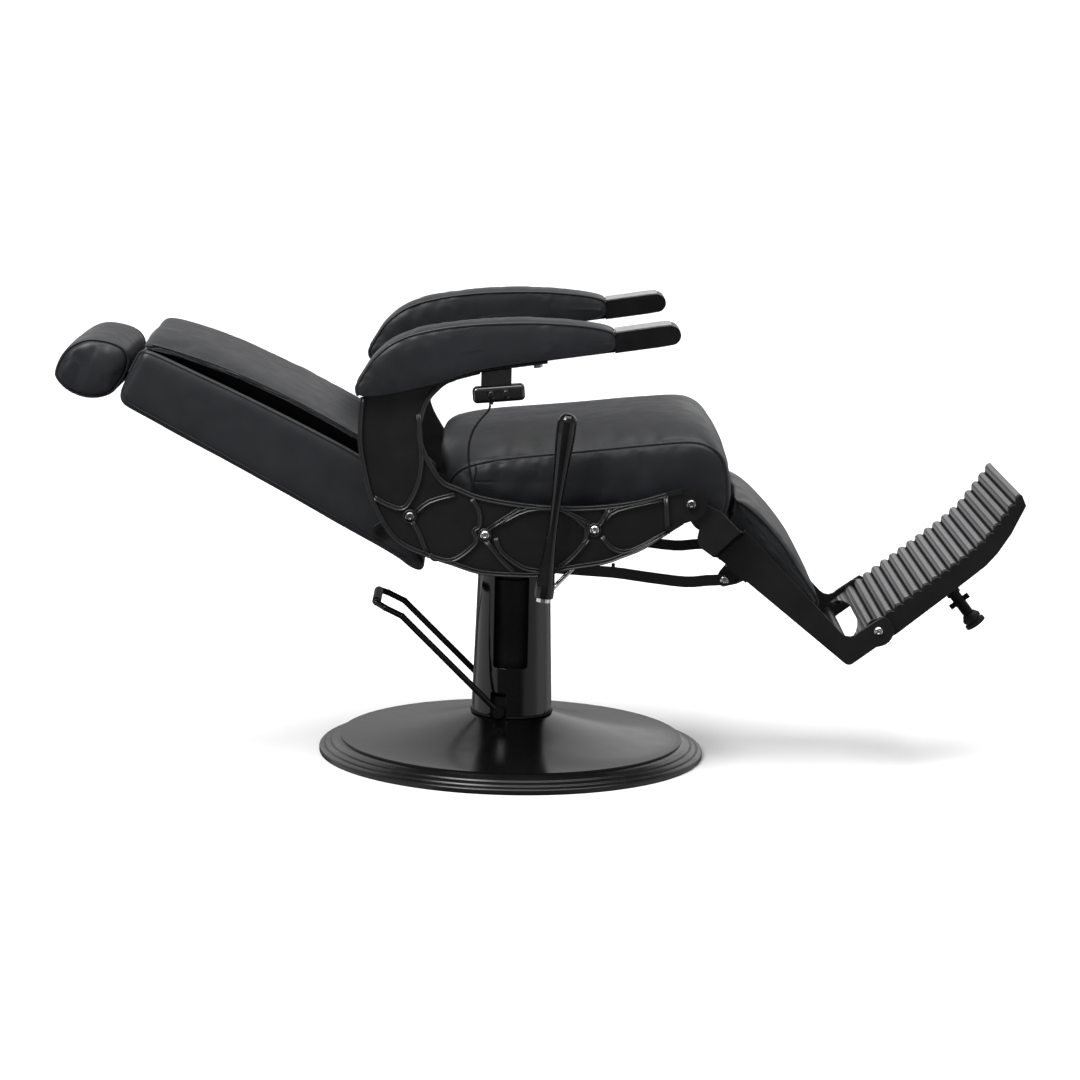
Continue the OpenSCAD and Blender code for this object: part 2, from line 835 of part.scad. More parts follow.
// Rings of points round the route, each square to the line
function ring(p, i, r, n) =
    let (d = unit(p[min(i + 1, len(p) - 1)] - p[max(i - 1, 0)]),
        u = unit(cross(d, [0, 1, 0])), v = cross(d, u))
    [for (k = [0:n - 1]) p[i] + r * (cos(360 * k / n) * u + sin(360 * k / n) * v)];
module tube(p, r, n = 8) {
    rings = len(p);
    faces = [for (i = [0:rings - 2], k = [0:n - 1])
        [i * n + k, i * n + (k + 1) % n, (i + 1) * n + (k + 1) % n, (i + 1) * n + k]];
    polyhedron([for (i = [0:rings - 1]) each ring(p, i, r, n)],
        concat(faces, [[for (k = [n - 1:-1:0]) k]], [[for (k = [0:n - 1]) (rings - 1) * n + k]]));
}
module handset_lead() {
    path = smooth(lead_route, 3);
    ends = len(path) - 1;
    level = [for (i = [0:ends]) i == 1 || i == ends - 1 ? [path[i][0], path[i][1], path[i][2]]
        : path[i]];
    color("#0d0d0e")
        at_deck()
            tube(level, lead_r);
}
module lead_grommet() {
    color("#121213")
        at_deck()
            union() {
                translate([-75, grommet_l - web_inner, lead_foot - 16])
                    cylinder(h = 16, r = 6);
                translate([-81, -web_inner, lead_foot - 16])
                    cube([12, grommet_l, 16]);
            }
}

// ---- recline lever and lock strut ----

lever_y = panel_outer + 25;
lever_elbow_y = panel_outer - 57;
lever_foot = [49.5, -35];
lever_top = [82, 257];
grip_r = 16.6;
ferrule_l = 19;
ferrule_r = 12;
skirt_l = 12;
lever_rod_r = 4;
cam_y = 58;
strut_y = 65;
strut_z = 16.25;
strut_r = 8;
strut_bore = 6;
strut_rear = -100;
strut_front = 92;
strut_pin = [-152.84, 19.03];
strut_pin_r = 4;
strut_rod_r = 4;
slot_half = 3.2;
slot_r = strut_pin_r + 0.45;

module lever_shaft() {
    axis = unit(lever_top - lever_foot);
    foot = at_y(lever_foot - (ferrule_l - 5) * axis, -lever_y + 5);
    elbow = at_y(lever_axis, -lever_elbow_y);
    color("#d5d8da")
        at_deck()
            union() {
                pin(lever_axis, -lever_elbow_y, -cam_y, lever_shaft_r);
                translate(elbow)
                    sphere(lever_shaft_r + weld, $fn = 40);
                rod(elbow, foot, lever_rod_r);
                rod(at_y(lever_foot - ferrule_l * axis, -lever_y), at_y(lever_foot, -lever_y), ferrule_r);
                translate([lever_axis[0] - 3, -cam_y - 14, lever_axis[1]])
                    cube([6, 12, 26]);
            }
}
module lever_grip() {
    reach = norm(lever_top - lever_foot);
    lean = atan2(lever_top[0] - lever_foot[0], lever_top[1] - lever_foot[1]);
    side_line = smooth([[16, -skirt_l], [grip_r, 5 - skirt_l], [16.4, 8], [15, 20], [12.9, 38], [11, 60],
        [9, 88], [7.9, 125], [9.6, 165], [12.6, 210], [15.6, 250], [grip_r, 270]], 3);
    color("#0c0c0d")
        at_deck()
            translate(at_y(lever_foot, -lever_y))
                rotate([0, lean, 0])
                    difference() {
                        rotate_extrude($fn = 48)
                            polygon(concat([[0, -skirt_l]], side_line,
                                arc([0, reach - 6], grip_r, 8, 90, 6)));
                        // the skirt covers the outer half of the ferrule
                        translate([0, 0, -skirt_l - 1])
                            cylinder(h = skirt_l + 1, r = ferrule_r + fit);
                        translate([-20, 0, -skirt_l - 1])
                            cube([40, 20, skirt_l + 1]);
                    }
}
module strut_cylinder() {
    color("#2c2d2f")
        at_deck()
            difference() {
                union() {
                    translate([strut_rear, -strut_y, strut_z])
                        rotate([0, 90, 0])
                            cylinder(h = strut_front - strut_rear, r = strut_r);
                    for (x = [-60, 50])
                        translate([x, -strut_y - strut_r - 4, plate_t])
                            cube([22, 2 * strut_r + 8, strut_z - plate_t]);
                }
                translate([strut_rear + 8, -strut_y, strut_z])
                    rotate([0, 90, 0])
                        cylinder(h = strut_front - strut_rear - 16, r = strut_bore);
                translate([strut_rear - 1, -strut_y, strut_z])
                    rotate([0, 90, 0])
                        cylinder(h = 12, r = strut_rod_r + fit);
            }
}
module strut_rod() {
    piston_at = 20;
    color("#c9cccf")
        at_deck()
            difference() {
                union() {
                    translate([strut_pin[0] + 6, -strut_y, strut_z])
                        rotate([0, 90, 0])
                            cylinder(h = piston_at - strut_pin[0] - 6, r = strut_rod_r);
                    translate([piston_at, -strut_y, strut_z])
                        rotate([0, 90, 0])
                            cylinder(h = 10, r = strut_bore - fit);
                    pin([strut_pin[0], strut_z], -strut_y - 4, -strut_y + 4, 11);
                }
                slab(-strut_y - 5, -strut_y + 5) {
                    translate([strut_pin[0], strut_z - slot_half])
                        circle(slot_r);
                    translate([strut_pin[0], strut_z + slot_half])
                        circle(slot_r);
                    translate([strut_pin[0] - slot_r, strut_z - slot_half])
                        square([2 * slot_r, 2 * slot_half]);
                }
            }
}

// ---- back ----

cross_at = [50, -3];
side_bolt_at = [-29, -54];
upright_y = 150;
upright_w = 40;
upright_end = -300;
floor_t = -18;
board_back = -12;
shell_rear = -78;
shell_end = -532;
link_rear_local = [77.3, -52.5];
strut_pin_local = [54.3, -43.35];
back_bolt_s = [-60, -250];
wall = 7;

// Half width of the back at the distance s along it
function back_w(s) = s > -60 ? back_half
    : back_half + (back_top_half - back_half) * (-60 - s) / (-60 - shell_end);
// Outline of the back seen square on, drawn in by d, from the lower end s0 to the top s1
module back_outline(d, s0, s1, corner) {
    w1 = back_w(s1 + corner) - d;
    w0 = back_w(s0) - d;
    right = concat([[s0, -w0], [min(s0, -60), -back_half + d]],
        [for (a = [0:15:90]) [s1 + corner * (1 - sin(a)), -w1 + corner * (1 - cos(a))]]);
    polygon(concat(right, [for (p = reversed(right)) [p[0], -p[1]]]));
}
// Solid between two planes of the back
module back_layer(t0, t1) {
    translate([0, 0, t0])
        linear_extrude(t1 - t0)
            children();
}
module back_frame() {
    color("#1d1d1f")
        at_back()
            difference() {
                union() {
                    pin(cross_at, -hinge_out, hinge_out, tube_r);
                    both_sides() {
                        slab(-hinge_out, -hinge_in) {
                            bar_2d([0, 0], cross_at, 36);
                            bar_2d([0, 0], side_bolt_at, 28);
                        }
                        slab(-link_y + 4, -link_y + 10)
                            bar_2d(cross_at, link_rear_local, 20);
                        pin(link_rear_local, -link_y - 4.5, -link_y + 10, 4);
                        pin(link_rear_local, -link_y - 7, -link_y - 4.5, 9.5);
                        translate([upright_end, -upright_y - upright_w / 2, floor_t])
                            cube([cross_at[0] - upright_end, upright_w, board_back - floor_t]);
                    }
                    for (y = [-strut_y - 11, -strut_y + 6])
                        slab(y, y + 5)
                            bar_2d(cross_at, strut_pin_local, 18);
                    pin(strut_pin_local, -strut_y - 11, -strut_y + 11, strut_pin_r);
                }
                pin([0, 0], -300, 300, bolt_r + fit);
                both_sides() {
                    pin(side_bolt_at, -300, -200, 4);
                    for (s = back_bolt_s)
                        translate([s, -upright_y, floor_t - 1])
                            cylinder(h = 20, r = 4);
                }
            }
}
module back_board() {
    color("#b08a5a")
        at_back()
            difference() {
                back_layer(board_back, 0)
                    back_outline(wall + 1, 5, shell_end + 12, 36);
                both_sides()
                    for (s = back_bolt_s)
                        translate([s, -upright_y, board_back - 1]) {
                            cylinder(h = 20, r = 4);
                            translate([0, 0, 7])
                                cylinder(h = 20, r = 8.5);
                        }
            }
}
module back_bolts() {
    color("#55585b")
        at_back()
            both_sides() {
                for (s = back_bolt_s)
                    translate([s, -upright_y, 0]) {
                        translate([0, 0, floor_t])
                            cylinder(h = -floor_t - 6, r = 4);
                        translate([0, 0, -6])
                            cylinder(h = 5, r = 8.5);
                    }
                pin(side_bolt_at, -hinge_out, -hinge_in + 14, 4);
                pin(side_bolt_at, -hinge_out - 4, -hinge_out, 8);
            }
}
socket_half = 30;
socket_rear = -50;
socket_foot = -365;
module back_shell() {
    side = concat([[-495, shell_rear], [20, -80], [42, -85]], arc([58, -74], 10, -75, 55, 5),
        [[35, -52], [35, 26], [-14, 34], [-125.5, 41], [-348, 31], [-521, 17]],
        [[shell_end, 14], [shell_end, -48], [-524, -68], [-512, -76]]);
    color("#1e1f21")
        at_back()
            difference() {
                intersection() {
                    slab(-260, 260)
                        polygon(side);
                    back_layer(-120, 60)
                        back_outline(0, 80, shell_end, 40);
                }
                back_layer(floor_t, 80)
                    back_outline(wall, 120, shell_end + 9, 36);
                translate([shell_end - 5, -socket_half, socket_rear])
                    cube([socket_foot - shell_end + 5, 2 * socket_half, 60]);
                both_sides()
                    pin(side_bolt_at, -hinge_in - 1, -hinge_in + 14, 4);
            }
}
module back_cushion() {
    front = smooth([[-520, 40], [-505, 62], [-452, 70], [-362, 75], [-251, 77], [-142, 75],
        [-90, 69], [-60, 62], [-35, 54], [-20, 42], [-14, 22]], 3);
    color("#202123")
        at_back()
            intersection() {
                slab(-260, 260)
                    polygon(concat([[-14, 0], [-520, 0]], front));
                back_layer(-1, 120)
                    back_outline(wall + 1, 0, shell_end + 12, 36);
            }
}

// ---- headrest ----

bar_half = 20;
bar_mid = -38;
bar_t = 12;
bar_foot = -385;
bar_top = -610;
module headrest_socket() {
    color("#2c2d2f")
        at_back()
            difference() {
                translate([shell_end + 4, -socket_half, socket_rear])
                    cube([socket_foot - shell_end - 4, 2 * socket_half, board_back - socket_rear]);
                translate([shell_end, -bar_half - fit, bar_mid - bar_t / 2 - fit])
                    cube([socket_foot - shell_end + 5, 2 * (bar_half + fit), bar_t + 2 * fit]);
            }
}
module headrest_bar() {
    color("#c9cccf")
        at_back()
            translate([bar_top, -bar_half, bar_mid - bar_t / 2])
                cube([bar_foot - bar_top, 2 * bar_half, bar_t]);
}
module headrest_pillow() {
    section = [[-646, -105], [-649, -66], [-634, -36], [-613, -20], [-571, -8], [-546, -18],
        [-538, -40], [-539, -70], [-544, -94], [-573, -117], [-609, -123], [-636, -115],
        [-646, -105]];
    color("#202123")
        at_back()
            difference() {
                slab(-pillow_len / 2, pillow_len / 2)
                    polygon(smooth(section, 3));
                translate([bar_top, -bar_half, bar_mid - bar_t / 2])
                    cube([bar_foot - bar_top, 2 * bar_half, bar_t]);
            }
}

// ---- leg rest ----

leg_plate_t = 6;
bracket_out = web_inner - 5;
bracket_in = bracket_out - leg_plate_t;
plate_in = max(foot_half + 12, calf_half + 14);
plate_out = plate_in + leg_plate_t;
lug_in = link_y - 10;
fold_s = 93;
link_front_local = [151.5, -53.5];
second_hole = [157.7, -42.8];
calf_board_n = 14;
calf_board_t = 12;
foot_r = 27;

module leg_arm(side) {
    color("#17181a")
        at_leg()
            on_side(side)
                difference() {
                    union() {
                        slab(-bracket_out, -bracket_in) {
                            circle(26);
                            polygon([[-4, 24], [21, 18], [47, 28], [fold_s, 28.5],
                                [fold_s, -35], [67, -40], [52, -32], [42, -17],
                                [28, -14], [10, -22]]);
                        }
                        translate([0, 0, -35])
                            linear_extrude(63.5)
                                polygon([[fold_s - 5, -bracket_in], [fold_s - 5, -bracket_out],
                                    [fold_s + 2, -bracket_out], [fold_s + 20, -plate_out],
                                    [fold_s + 25, -plate_out], [fold_s + 25, -plate_in],
                                    [fold_s + 16, -plate_in], [fold_s - 2, -bracket_in]]);
                        slab(-plate_out, -plate_in)
                            polygon(concat([[fold_s + 16, -35], [398, 1]],
                                arc([397, 13], 12, -60, 0, 4), [[415, 60]],
                                arc(foot_hinge, foot_r, -35, 120, 8), [[379, 84]],
                                reversed(arc([355, 52.5], 20, -90, 10, 4)),
                                [[fold_s + 16, 32.5]]));
                        slab(-lug_in - 6, -lug_in)
                            polygon([[136, -50], [141, -62], [150, -67], [160, -64], [172, -44],
                                [178, -27], [134, -32]]);
                        slab(-plate_out, -lug_in)
                            polygon([[134, -36], [134, -29], [178, -22], [178, -29]]);
                    }
                    pin([0, 0], -bracket_out - 1, -bracket_in + 1, bolt_r + fit);
                    pin(foot_hinge, -plate_out - 1, -plate_in + 1, bolt_r);
                    pin(link_front_local, -lug_in - 7, -lug_in + 1, 5);
                    pin(second_hole + [9, 4], -lug_in - 7, -lug_in - 3, 3);
                }
}
module leg_arm_right() {
    leg_arm(-1);
}
module leg_arm_left() {
    leg_arm(1);
}
module leg_crossbar() {
    color("#1a1a1b")
        at_leg()
            union() {
                pin([392, 17], -plate_in, plate_in, 9);
                for (s = [120, 262])
                    translate([s, -plate_in, calf_board_n - 6])
                        cube([30, 2 * plate_in, 6]);
            }
}
module calf_board() {
    color("#b08a5a")
        at_leg()
            translate([82, -calf_half + 8, calf_board_n])
                cube([213, 2 * (calf_half - 8), calf_board_t]);
}
module calf_pad() {
    gap_r = 80.5;
    top = calf_board_n + calf_board_t;
    color("#202123")
        at_leg()
            slab(-calf_half, calf_half)
                polygon(concat([[300, top]], [[301, 34]],
                    smooth([[293, 42], [228, 63], [190, 72], [133, 76.5], [80, 71.5], [56, 60]],
                        3), arc([0, 0], gap_r, 46, 19, 6)));
}
module link_bolts() {
    color("#d5d8da")
        at_leg()
            both_sides()
                side_bolt(link_front_local, -link_y - 3.5, -lug_in + 4, 5, 8);
}

// ---- link bars ----

link_line = [[361, -33], [330, -35], [293, -38], [222, -30.5], [169, -24], [82, -19], [-20, -10],
    [-137, 0]];
module link_bar(side) {
    y0 = -link_y - 3;
    y1 = -link_y + 3;
    color("#17181a")
        at_deck()
            on_side(side)
                difference() {
                    union() {
                        slab(y0, y1)
                            polygon(ribbon(smooth(link_line, 3), link_h));
                        pin(link_front, y0, y1, link_h / 2 + 1);
                        pin(link_rear, y0, y1, 11);
                        translate([166, y0, -17])
                            cube([6, 6, 9]);
                    }
                    pin(link_front, y0 - 1, y1 + 1, 5 + fit);
                    pin(link_rear, y0 - 1, y1 + 1, 7.4);
                }
}
module link_right() {
    link_bar(-1);
}
module link_left() {
    link_bar(1);
}

// ---- footplate ----

foot_plate_t = 4;
plate_y = foot_half + foot_plate_t + 0.5;
tread_line = [[-22, 4], [36, 7], [199, 7], [243, 11], [283, 22], [322, 34], [334, 38]];
ridge_start = -17;
hinge_disc_r = 20;
post_x = 142;
post_r = 10;
sleeve_r = 13;
sleeve_end = -72;
cap_r = 19;
cap_z = -131.5;

module foot_frame() {
    color("#161617")
        at_foot()
            difference() {
                union() {
                    both_sides() {
                        slab(-plate_y, -plate_y + foot_plate_t) {
                            polygon(concat([[-22, -18], [22, -26], [154, -23.6], [216, -21.6],
                                [244, -16], [282, -3], [332, 22], [337, 42]],
                                reversed(tread_top(plate_cover)), [[-22, 6]]));
                            circle(hinge_disc_r);
                        }
                        pin([0, 0], -plate_in + 0.5, -plate_y + foot_plate_t, 12);
                    }
                    translate([post_x - 24, -plate_y, -12])
                        cube([48, 2 * plate_y, 8]);
                    translate([post_x, 0, -4])
                        cylinder(h = 8, r = post_r + 6);
                }
                pin([0, 0], -plate_out, plate_out, bolt_r + fit);
                translate([post_x, 0, -40])
                    cylinder(h = 60, r = post_r);
            }
}
// Top of the tread: a rounded ridge at each pitch over the tread line
function tread_top(part = 1) = [for (i = [0:ridge_count - 1], k = [0:5])
    let (x = ridge_start + (i + k / 6) * ridge_pitch * 0.985)
    [x, height_at(tread_line, x) + 2 + ridge_h * part * pow(sin(180 * k / 6), 0.7)]];
// How much of the ridges' height the side plates cover
plate_cover = 0.75;
module foot_tread() {
    horn_cut = [for (i = [0:12])
        let (a = 15 * i - 90)
        [-50 + 32 * cos(a), (foot_half - 14) * sin(a)]];
    color("#8f9294")
        at_foot()
            union() {
                slab(-foot_half, foot_half)
                    polygon(concat(tread_line, [[336, 42]], reversed(tread_top()), [[-22, 6]]));
                translate([0, 0, 5])
                    linear_extrude(6)
                        polygon(concat([[-14, foot_half], [-50, foot_half]],
                            reversed(horn_cut), [[-50, -foot_half], [-14, -foot_half]]));
            }
}
module foot_post() {
    color("#141415")
        at_foot()
            union() {
                translate([post_x, 0, cap_z + 8])
                    cylinder(h = 4 - cap_z - 8, r = post_r);
                translate([post_x, 0, sleeve_end])
                    cylinder(h = -12 - sleeve_end, r = sleeve_r);
                translate([post_x - 20, 0, -88])
                    rotate([0, 90, 0])
                        cylinder(h = 40, r = 5);
            }
}
module foot_cap() {
    color("#0f0f10")
        at_foot()
            translate([post_x, 0, cap_z - 8])
                difference() {
                    union() {
                        cylinder(h = 7, r = cap_r);
                        translate([0, 0, 7])
                            cylinder(h = 4, r = cap_r - 5);
                        translate([0, 0, 11])
                            cylinder(h = 6, r = cap_r - 2);
                        translate([0, 0, 17])
                            cylinder(h = 7, r1 = cap_r - 3, r2 = post_r + 2);
                    }
                    translate([0, 0, 16])
                        cylinder(h = 30, r = post_r);
                }
}
module foot_pin() {
    color("#d5d8da")
        at_leg()
            both_sides()
                side_bolt(foot_hinge, -plate_out, -plate_y + foot_plate_t, bolt_r, 8);
}

base_plate();
base_rim();
base_cover();
column_gasket();
column_cover();
pump_body();
pump_gland();
flange_bolts();
pedal_shaft();
pedal_loop();
pedal_tread();
pedal_bolts();
piston_rod();
swivel_hub();
seat_frame();
side_panel_right();
side_panel_left();
panel_bolts();
pivot_bolts();
seat_board();
seat_cushion();
arm_pad_right();
arm_pad_left();
arm_tip_right();
arm_tip_left();
arm_cap_right();
arm_cap_left();
arm_nuts();
handset_bracket();
handset_body();
handset_lead();
lead_grommet();
button_front();
button_rear();
lever_shaft();
lever_grip();
strut_cylinder();
strut_rod();
back_frame();
back_board();
back_shell();
back_cushion();
back_bolts();
headrest_socket();
headrest_bar();
headrest_pillow();
leg_arm_right();
leg_arm_left();
leg_crossbar();
calf_board();
calf_pad();
link_bolts();
link_right();
link_left();
foot_frame();
foot_tread();
foot_post();
foot_cap();
foot_pin();
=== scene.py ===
import math
import bmesh
import bpy
from mathutils import Matrix, Vector, kdtree, noise


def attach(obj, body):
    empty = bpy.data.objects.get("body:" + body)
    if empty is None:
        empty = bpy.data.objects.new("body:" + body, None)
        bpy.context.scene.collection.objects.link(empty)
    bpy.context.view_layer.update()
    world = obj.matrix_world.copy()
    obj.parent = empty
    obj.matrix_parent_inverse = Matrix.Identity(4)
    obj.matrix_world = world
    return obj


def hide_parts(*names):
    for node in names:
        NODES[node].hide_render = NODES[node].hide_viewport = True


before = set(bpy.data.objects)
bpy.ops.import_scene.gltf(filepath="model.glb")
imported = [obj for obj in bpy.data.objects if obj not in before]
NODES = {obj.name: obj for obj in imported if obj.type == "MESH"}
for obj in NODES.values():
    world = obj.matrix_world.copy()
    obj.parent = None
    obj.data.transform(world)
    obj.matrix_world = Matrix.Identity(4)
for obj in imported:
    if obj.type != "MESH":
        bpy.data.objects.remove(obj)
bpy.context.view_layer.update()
# Lengths are in mm and points are (x, z) in the chair's side plane, unless they say otherwise
MM = 0.001
DECK = 385.0  # height of the level that the seat's points are measured from
RECLINE = math.radians(28.4)
LEG = math.radians(45.9)
BACK_PIVOT = (-180.0, 468.0)
LEG_PIVOT = (294.0, 498.0)
SIDES = ((-1, "right"), (1, "left"))

# The tread's ridges, in metres from the footplate's hinge; they place the tread's painted shade and
# highlights
FOOT_TILT = math.radians(38.0)
FOOT_PIVOT = (0.62824, 0.0, 0.27005)
RIDGE_START = -0.017
RIDGE_PITCH = 0.0197


# ---------------------------------------------------------------- camera
# The camera of the photo, in degrees and metres
AZIMUTH, ELEVATION, ROLL = -0.7593, 9.4058, -1.2650
LOOK_AT = Vector((0.04444, 0.0, 0.38348))
DISTANCE = 6.1747
SENSOR = 36.0
FOCAL_SHARE = 3478.3 / 1080.0  # focal length over the picture's width


def make_camera():
    a, e, r = (math.radians(v) for v in (AZIMUTH, ELEVATION, ROLL))
    back = Vector((math.sin(a) * math.cos(e), -math.cos(a) * math.cos(e), math.sin(e)))
    right = Vector((math.cos(a), math.sin(a), 0.0))
    up = back.cross(right)
    x_axis = right * math.cos(r) - up * math.sin(r)
    y_axis = right * math.sin(r) + up * math.cos(r)
    place = LOOK_AT + back * DISTANCE
    data = bpy.data.cameras.new("camera")
    data.sensor_width = SENSOR
    data.lens = SENSOR * FOCAL_SHARE
    data.clip_end = 1000.0
    cam = bpy.data.objects.new("camera", data)
    cam.matrix_world = Matrix(
        (
            (x_axis.x, y_axis.x, back.x, place.x),
            (x_axis.y, y_axis.y, back.y, place.y),
            (x_axis.z, y_axis.z, back.z, place.z),
            (0.0, 0.0, 0.0, 1.0),
        )
    )
    bpy.context.scene.collection.objects.link(cam)
    bpy.context.scene.camera = cam


make_camera()


# ---------------------------------------------------------------- materials
NOISE_SPAN = (0.3, 0.7)  # where most of a noise lies


def set_ramp(ramp, stops, blue=1.0):
    """Gives a colour ramp its stops, each a place and a grey, with the blue raised a little."""
    keys = ramp.color_ramp.elements
    while len(keys) < len(stops):
        keys.new(0.5)
    for key, (at, value) in zip(keys, stops):
        key.position = at
        key.color = (value, value, value * blue, 1.0)


class Nodes:
    """A small wrapper that adds nodes and links to one material."""

    def __init__(self, name):
        self.mat = bpy.data.materials.new(name)
        self.mat.use_nodes = True
        self.tree = self.mat.node_tree
        self.shader = self.tree.nodes["Principled BSDF"]
        self.coord = self.add("ShaderNodeTexCoord").outputs["Object"]

    def add(self, kind, **values):
        node = self.tree.nodes.new(kind)
        for key, value in values.items():
            if key in node.inputs:
                node.inputs[key].default_value = value
            else:
                setattr(node, key, value)
        return node

    def link(self, a, b):
        self.tree.links.new(a, b)

    def noise(self, scale, detail=2.0, stretch=None):
        source = self.coord
        if stretch:
            mapping = self.add("ShaderNodeMapping")
            mapping.inputs["Scale"].default_value = stretch
            self.link(source, mapping.inputs["Vector"])
            source = mapping.outputs["Vector"]
        node = self.add("ShaderNodeTexNoise", Scale=scale, Detail=detail)
        self.link(source, node.inputs["Vector"])
        return node.outputs["Fac"]

    def cells(self, scale):
        node = self.add("ShaderNodeTexVoronoi", Scale=scale)
        node.feature = "SMOOTH_F1"
        self.link(self.coord, node.inputs["Vector"])
        return node.outputs["Distance"]

    def spread(self, fac, low, high):
        node = self.add("ShaderNodeMapRange")
        node.inputs["From Min"].default_value = NOISE_SPAN[0]
        node.inputs["From Max"].default_value = NOISE_SPAN[1]
        node.inputs["To Min"].default_value = low
        node.inputs["To Max"].default_value = high
        self.link(fac, node.inputs["Value"])
        return node.outputs["Result"]

    def tint(self, fac, dark, light):
        node = self.add("ShaderNodeValToRGB")
        for key, color, at in zip(node.color_ramp.elements, (dark, light), NOISE_SPAN):
            key.color = (*color, 1.0)
            key.position = at
        self.link(fac, node.inputs["Fac"])
        self.link(node.outputs["Color"], self.shader.inputs["Base Color"])

    def rough(self, fac, low, high):
        self.link(self.spread(fac, low, high), self.shader.inputs["Roughness"])

    def bump(self, height, strength, distance, before=None):
        node = self.add("ShaderNodeBump", Strength=strength, Distance=distance)
        self.link(height, node.inputs["Height"])
        if before:
            self.link(before, node.inputs["Normal"])
        return node.outputs["Normal"]

    def finish(self, normal=None, **values):
        if normal:
            self.link(normal, self.shader.inputs["Normal"])
        for key, value in values.items():
            self.shader.inputs[key.replace("_", " ")].default_value = value
        return self.mat


def leather():
    n = Nodes("black_leather")
    n.tint(n.noise(9.0, 3.0), (0.0066, 0.0071, 0.0088), (0.0090, 0.0096, 0.0117))
    n.rough(n.noise(30.0, 3.0), 0.40, 0.50)
    folds = n.bump(n.noise(16.0, 3.0), 0.20, 0.003)
    pores = n.bump(n.noise(420.0, 2.0), 0.25, 0.0002, folds)
    grain = n.bump(n.cells(760.0), 0.30, 0.00022, pores)
    return n.finish(grain, Specular_IOR_Level=0.3)


def piping_leather():
    n = Nodes("piping_leather")
    n.tint(n.noise(60.0, 2.0), (0.006, 0.0063, 0.007), (0.010, 0.0104, 0.0115))
    n.rough(n.noise(90.0, 2.0), 0.36, 0.46)
    grain = n.bump(n.cells(900.0), 0.25, 0.00015)
    return n.finish(grain, Specular_IOR_Level=0.36)


def thread():
    n = Nodes("black_thread")
    n.tint(n.noise(700.0, 1.0), (0.012, 0.012, 0.013), (0.03, 0.03, 0.033))
    n.rough(n.noise(500.0, 1.0), 0.5, 0.7)
    twist = n.bump(n.noise(1500.0, 1.0), 0.4, 0.0002)
    return n.finish(twist)


def paint(name, low, high, dark, light, peel, coat, spec):
    """Black paint or plastic: roughness from low to high, colour from dark to light, the strength
    of its orange peel, the weight of its coat and its specular level."""
    n = Nodes(name)
    n.tint(n.noise(12.0, 3.0), (dark, dark, dark * 1.05), (light, light, light * 1.05))
    n.rough(n.noise(40.0, 3.0), low, high)
    skin = n.bump(n.noise(650.0, 2.0), peel, 0.00012)
    return n.finish(skin, Coat_Weight=coat, Coat_Roughness=0.06, Specular_IOR_Level=spec)


def metal(name, color, low, high):
    """Bare or plated metal, with its roughness from low to high."""
    n = Nodes(name)
    dark = tuple(c * 0.86 for c in color)
    n.tint(n.noise(25.0, 2.0), dark, color)
    n.rough(n.noise(120.0, 3.0), low, high)
    skin = n.bump(n.noise(480.0, 2.0), 0.1, 0.00008)
    return n.finish(skin, Metallic=1.0)


# Painted shade: near-black, dull cloth on the tuck under the back cushion, standing in for the
# shade there
def painted_shade_cloth():
    n = Nodes("painted_shade_cloth")
    fuzz = n.noise(400.0, 3.0)
    n.tint(fuzz, (0.0004, 0.0004, 0.0004), (0.0012, 0.0012, 0.0013))
    n.rough(fuzz, 0.9, 1.0)
    return n.finish(n.bump(fuzz, 0.2, 0.0003), Specular_IOR_Level=0.02)


def tread_painted_light():
    """Silver ridges with painted light: two near-black painted-shade lines each, for the groove and
    for the step in the ridge, and pale painted-highlight bands on the ridge faces.
    """
    n = Nodes("silver_tread")
    turn = n.add("ShaderNodeVectorRotate", rotation_type="Y_AXIS")
    turn.inputs["Angle"].default_value = FOOT_TILT
    turn.inputs["Center"].default_value = FOOT_PIVOT
    n.link(n.coord, turn.inputs["Vector"])
    split = n.add("ShaderNodeSeparateXYZ")
    n.link(turn.outputs["Vector"], split.inputs[0])

    def step(operation, a, b):
        node = n.add("ShaderNodeMath", operation=operation)
        n.link(a, node.inputs[0])
        node.inputs[1].default_value = b
        return node.outputs[0]

    along = step("SUBTRACT", split.outputs["X"], FOOT_PIVOT[0] + RIDGE_START)
    place = step("FRACT", step("DIVIDE", along, RIDGE_PITCH), 0.0)
    ramp = n.add("ShaderNodeValToRGB")
    # painted light along each ridge: near black where the groove and the step lie in shade, pale
    # where the ridge faces catch the light
    stops = ((0.0, 0.002), (0.08, 0.004), (0.16, 0.52), (0.27, 0.34), (0.36, 0.12), (0.43, 0.05),
             (0.52, 0.36), (0.64, 0.22), (0.80, 0.09), (0.9, 0.01), (0.98, 0.002))
    set_ramp(ramp, stops, 1.03)
    n.link(place, ramp.inputs["Fac"])
    n.link(ramp.outputs["Color"], n.shader.inputs["Base Color"])
    brushed = (6.0, 0.6, 6.0)
    n.rough(n.noise(60.0, 3.0, brushed), 0.34, 0.46)
    skin = n.bump(n.noise(240.0, 2.0, brushed), 0.2, 0.00008)
    return n.finish(skin, Metallic=1.0)


def wood():
    n = Nodes("plywood")
    n.tint(n.noise(20.0, 4.0, (1.0, 14.0, 14.0)), (0.22, 0.13, 0.06), (0.42, 0.28, 0.15))
    n.rough(n.noise(60.0), 0.55, 0.75)
    return n.finish(n.bump(n.noise(90.0, 3.0, (1.0, 12.0, 12.0)), 0.3, 0.0003))


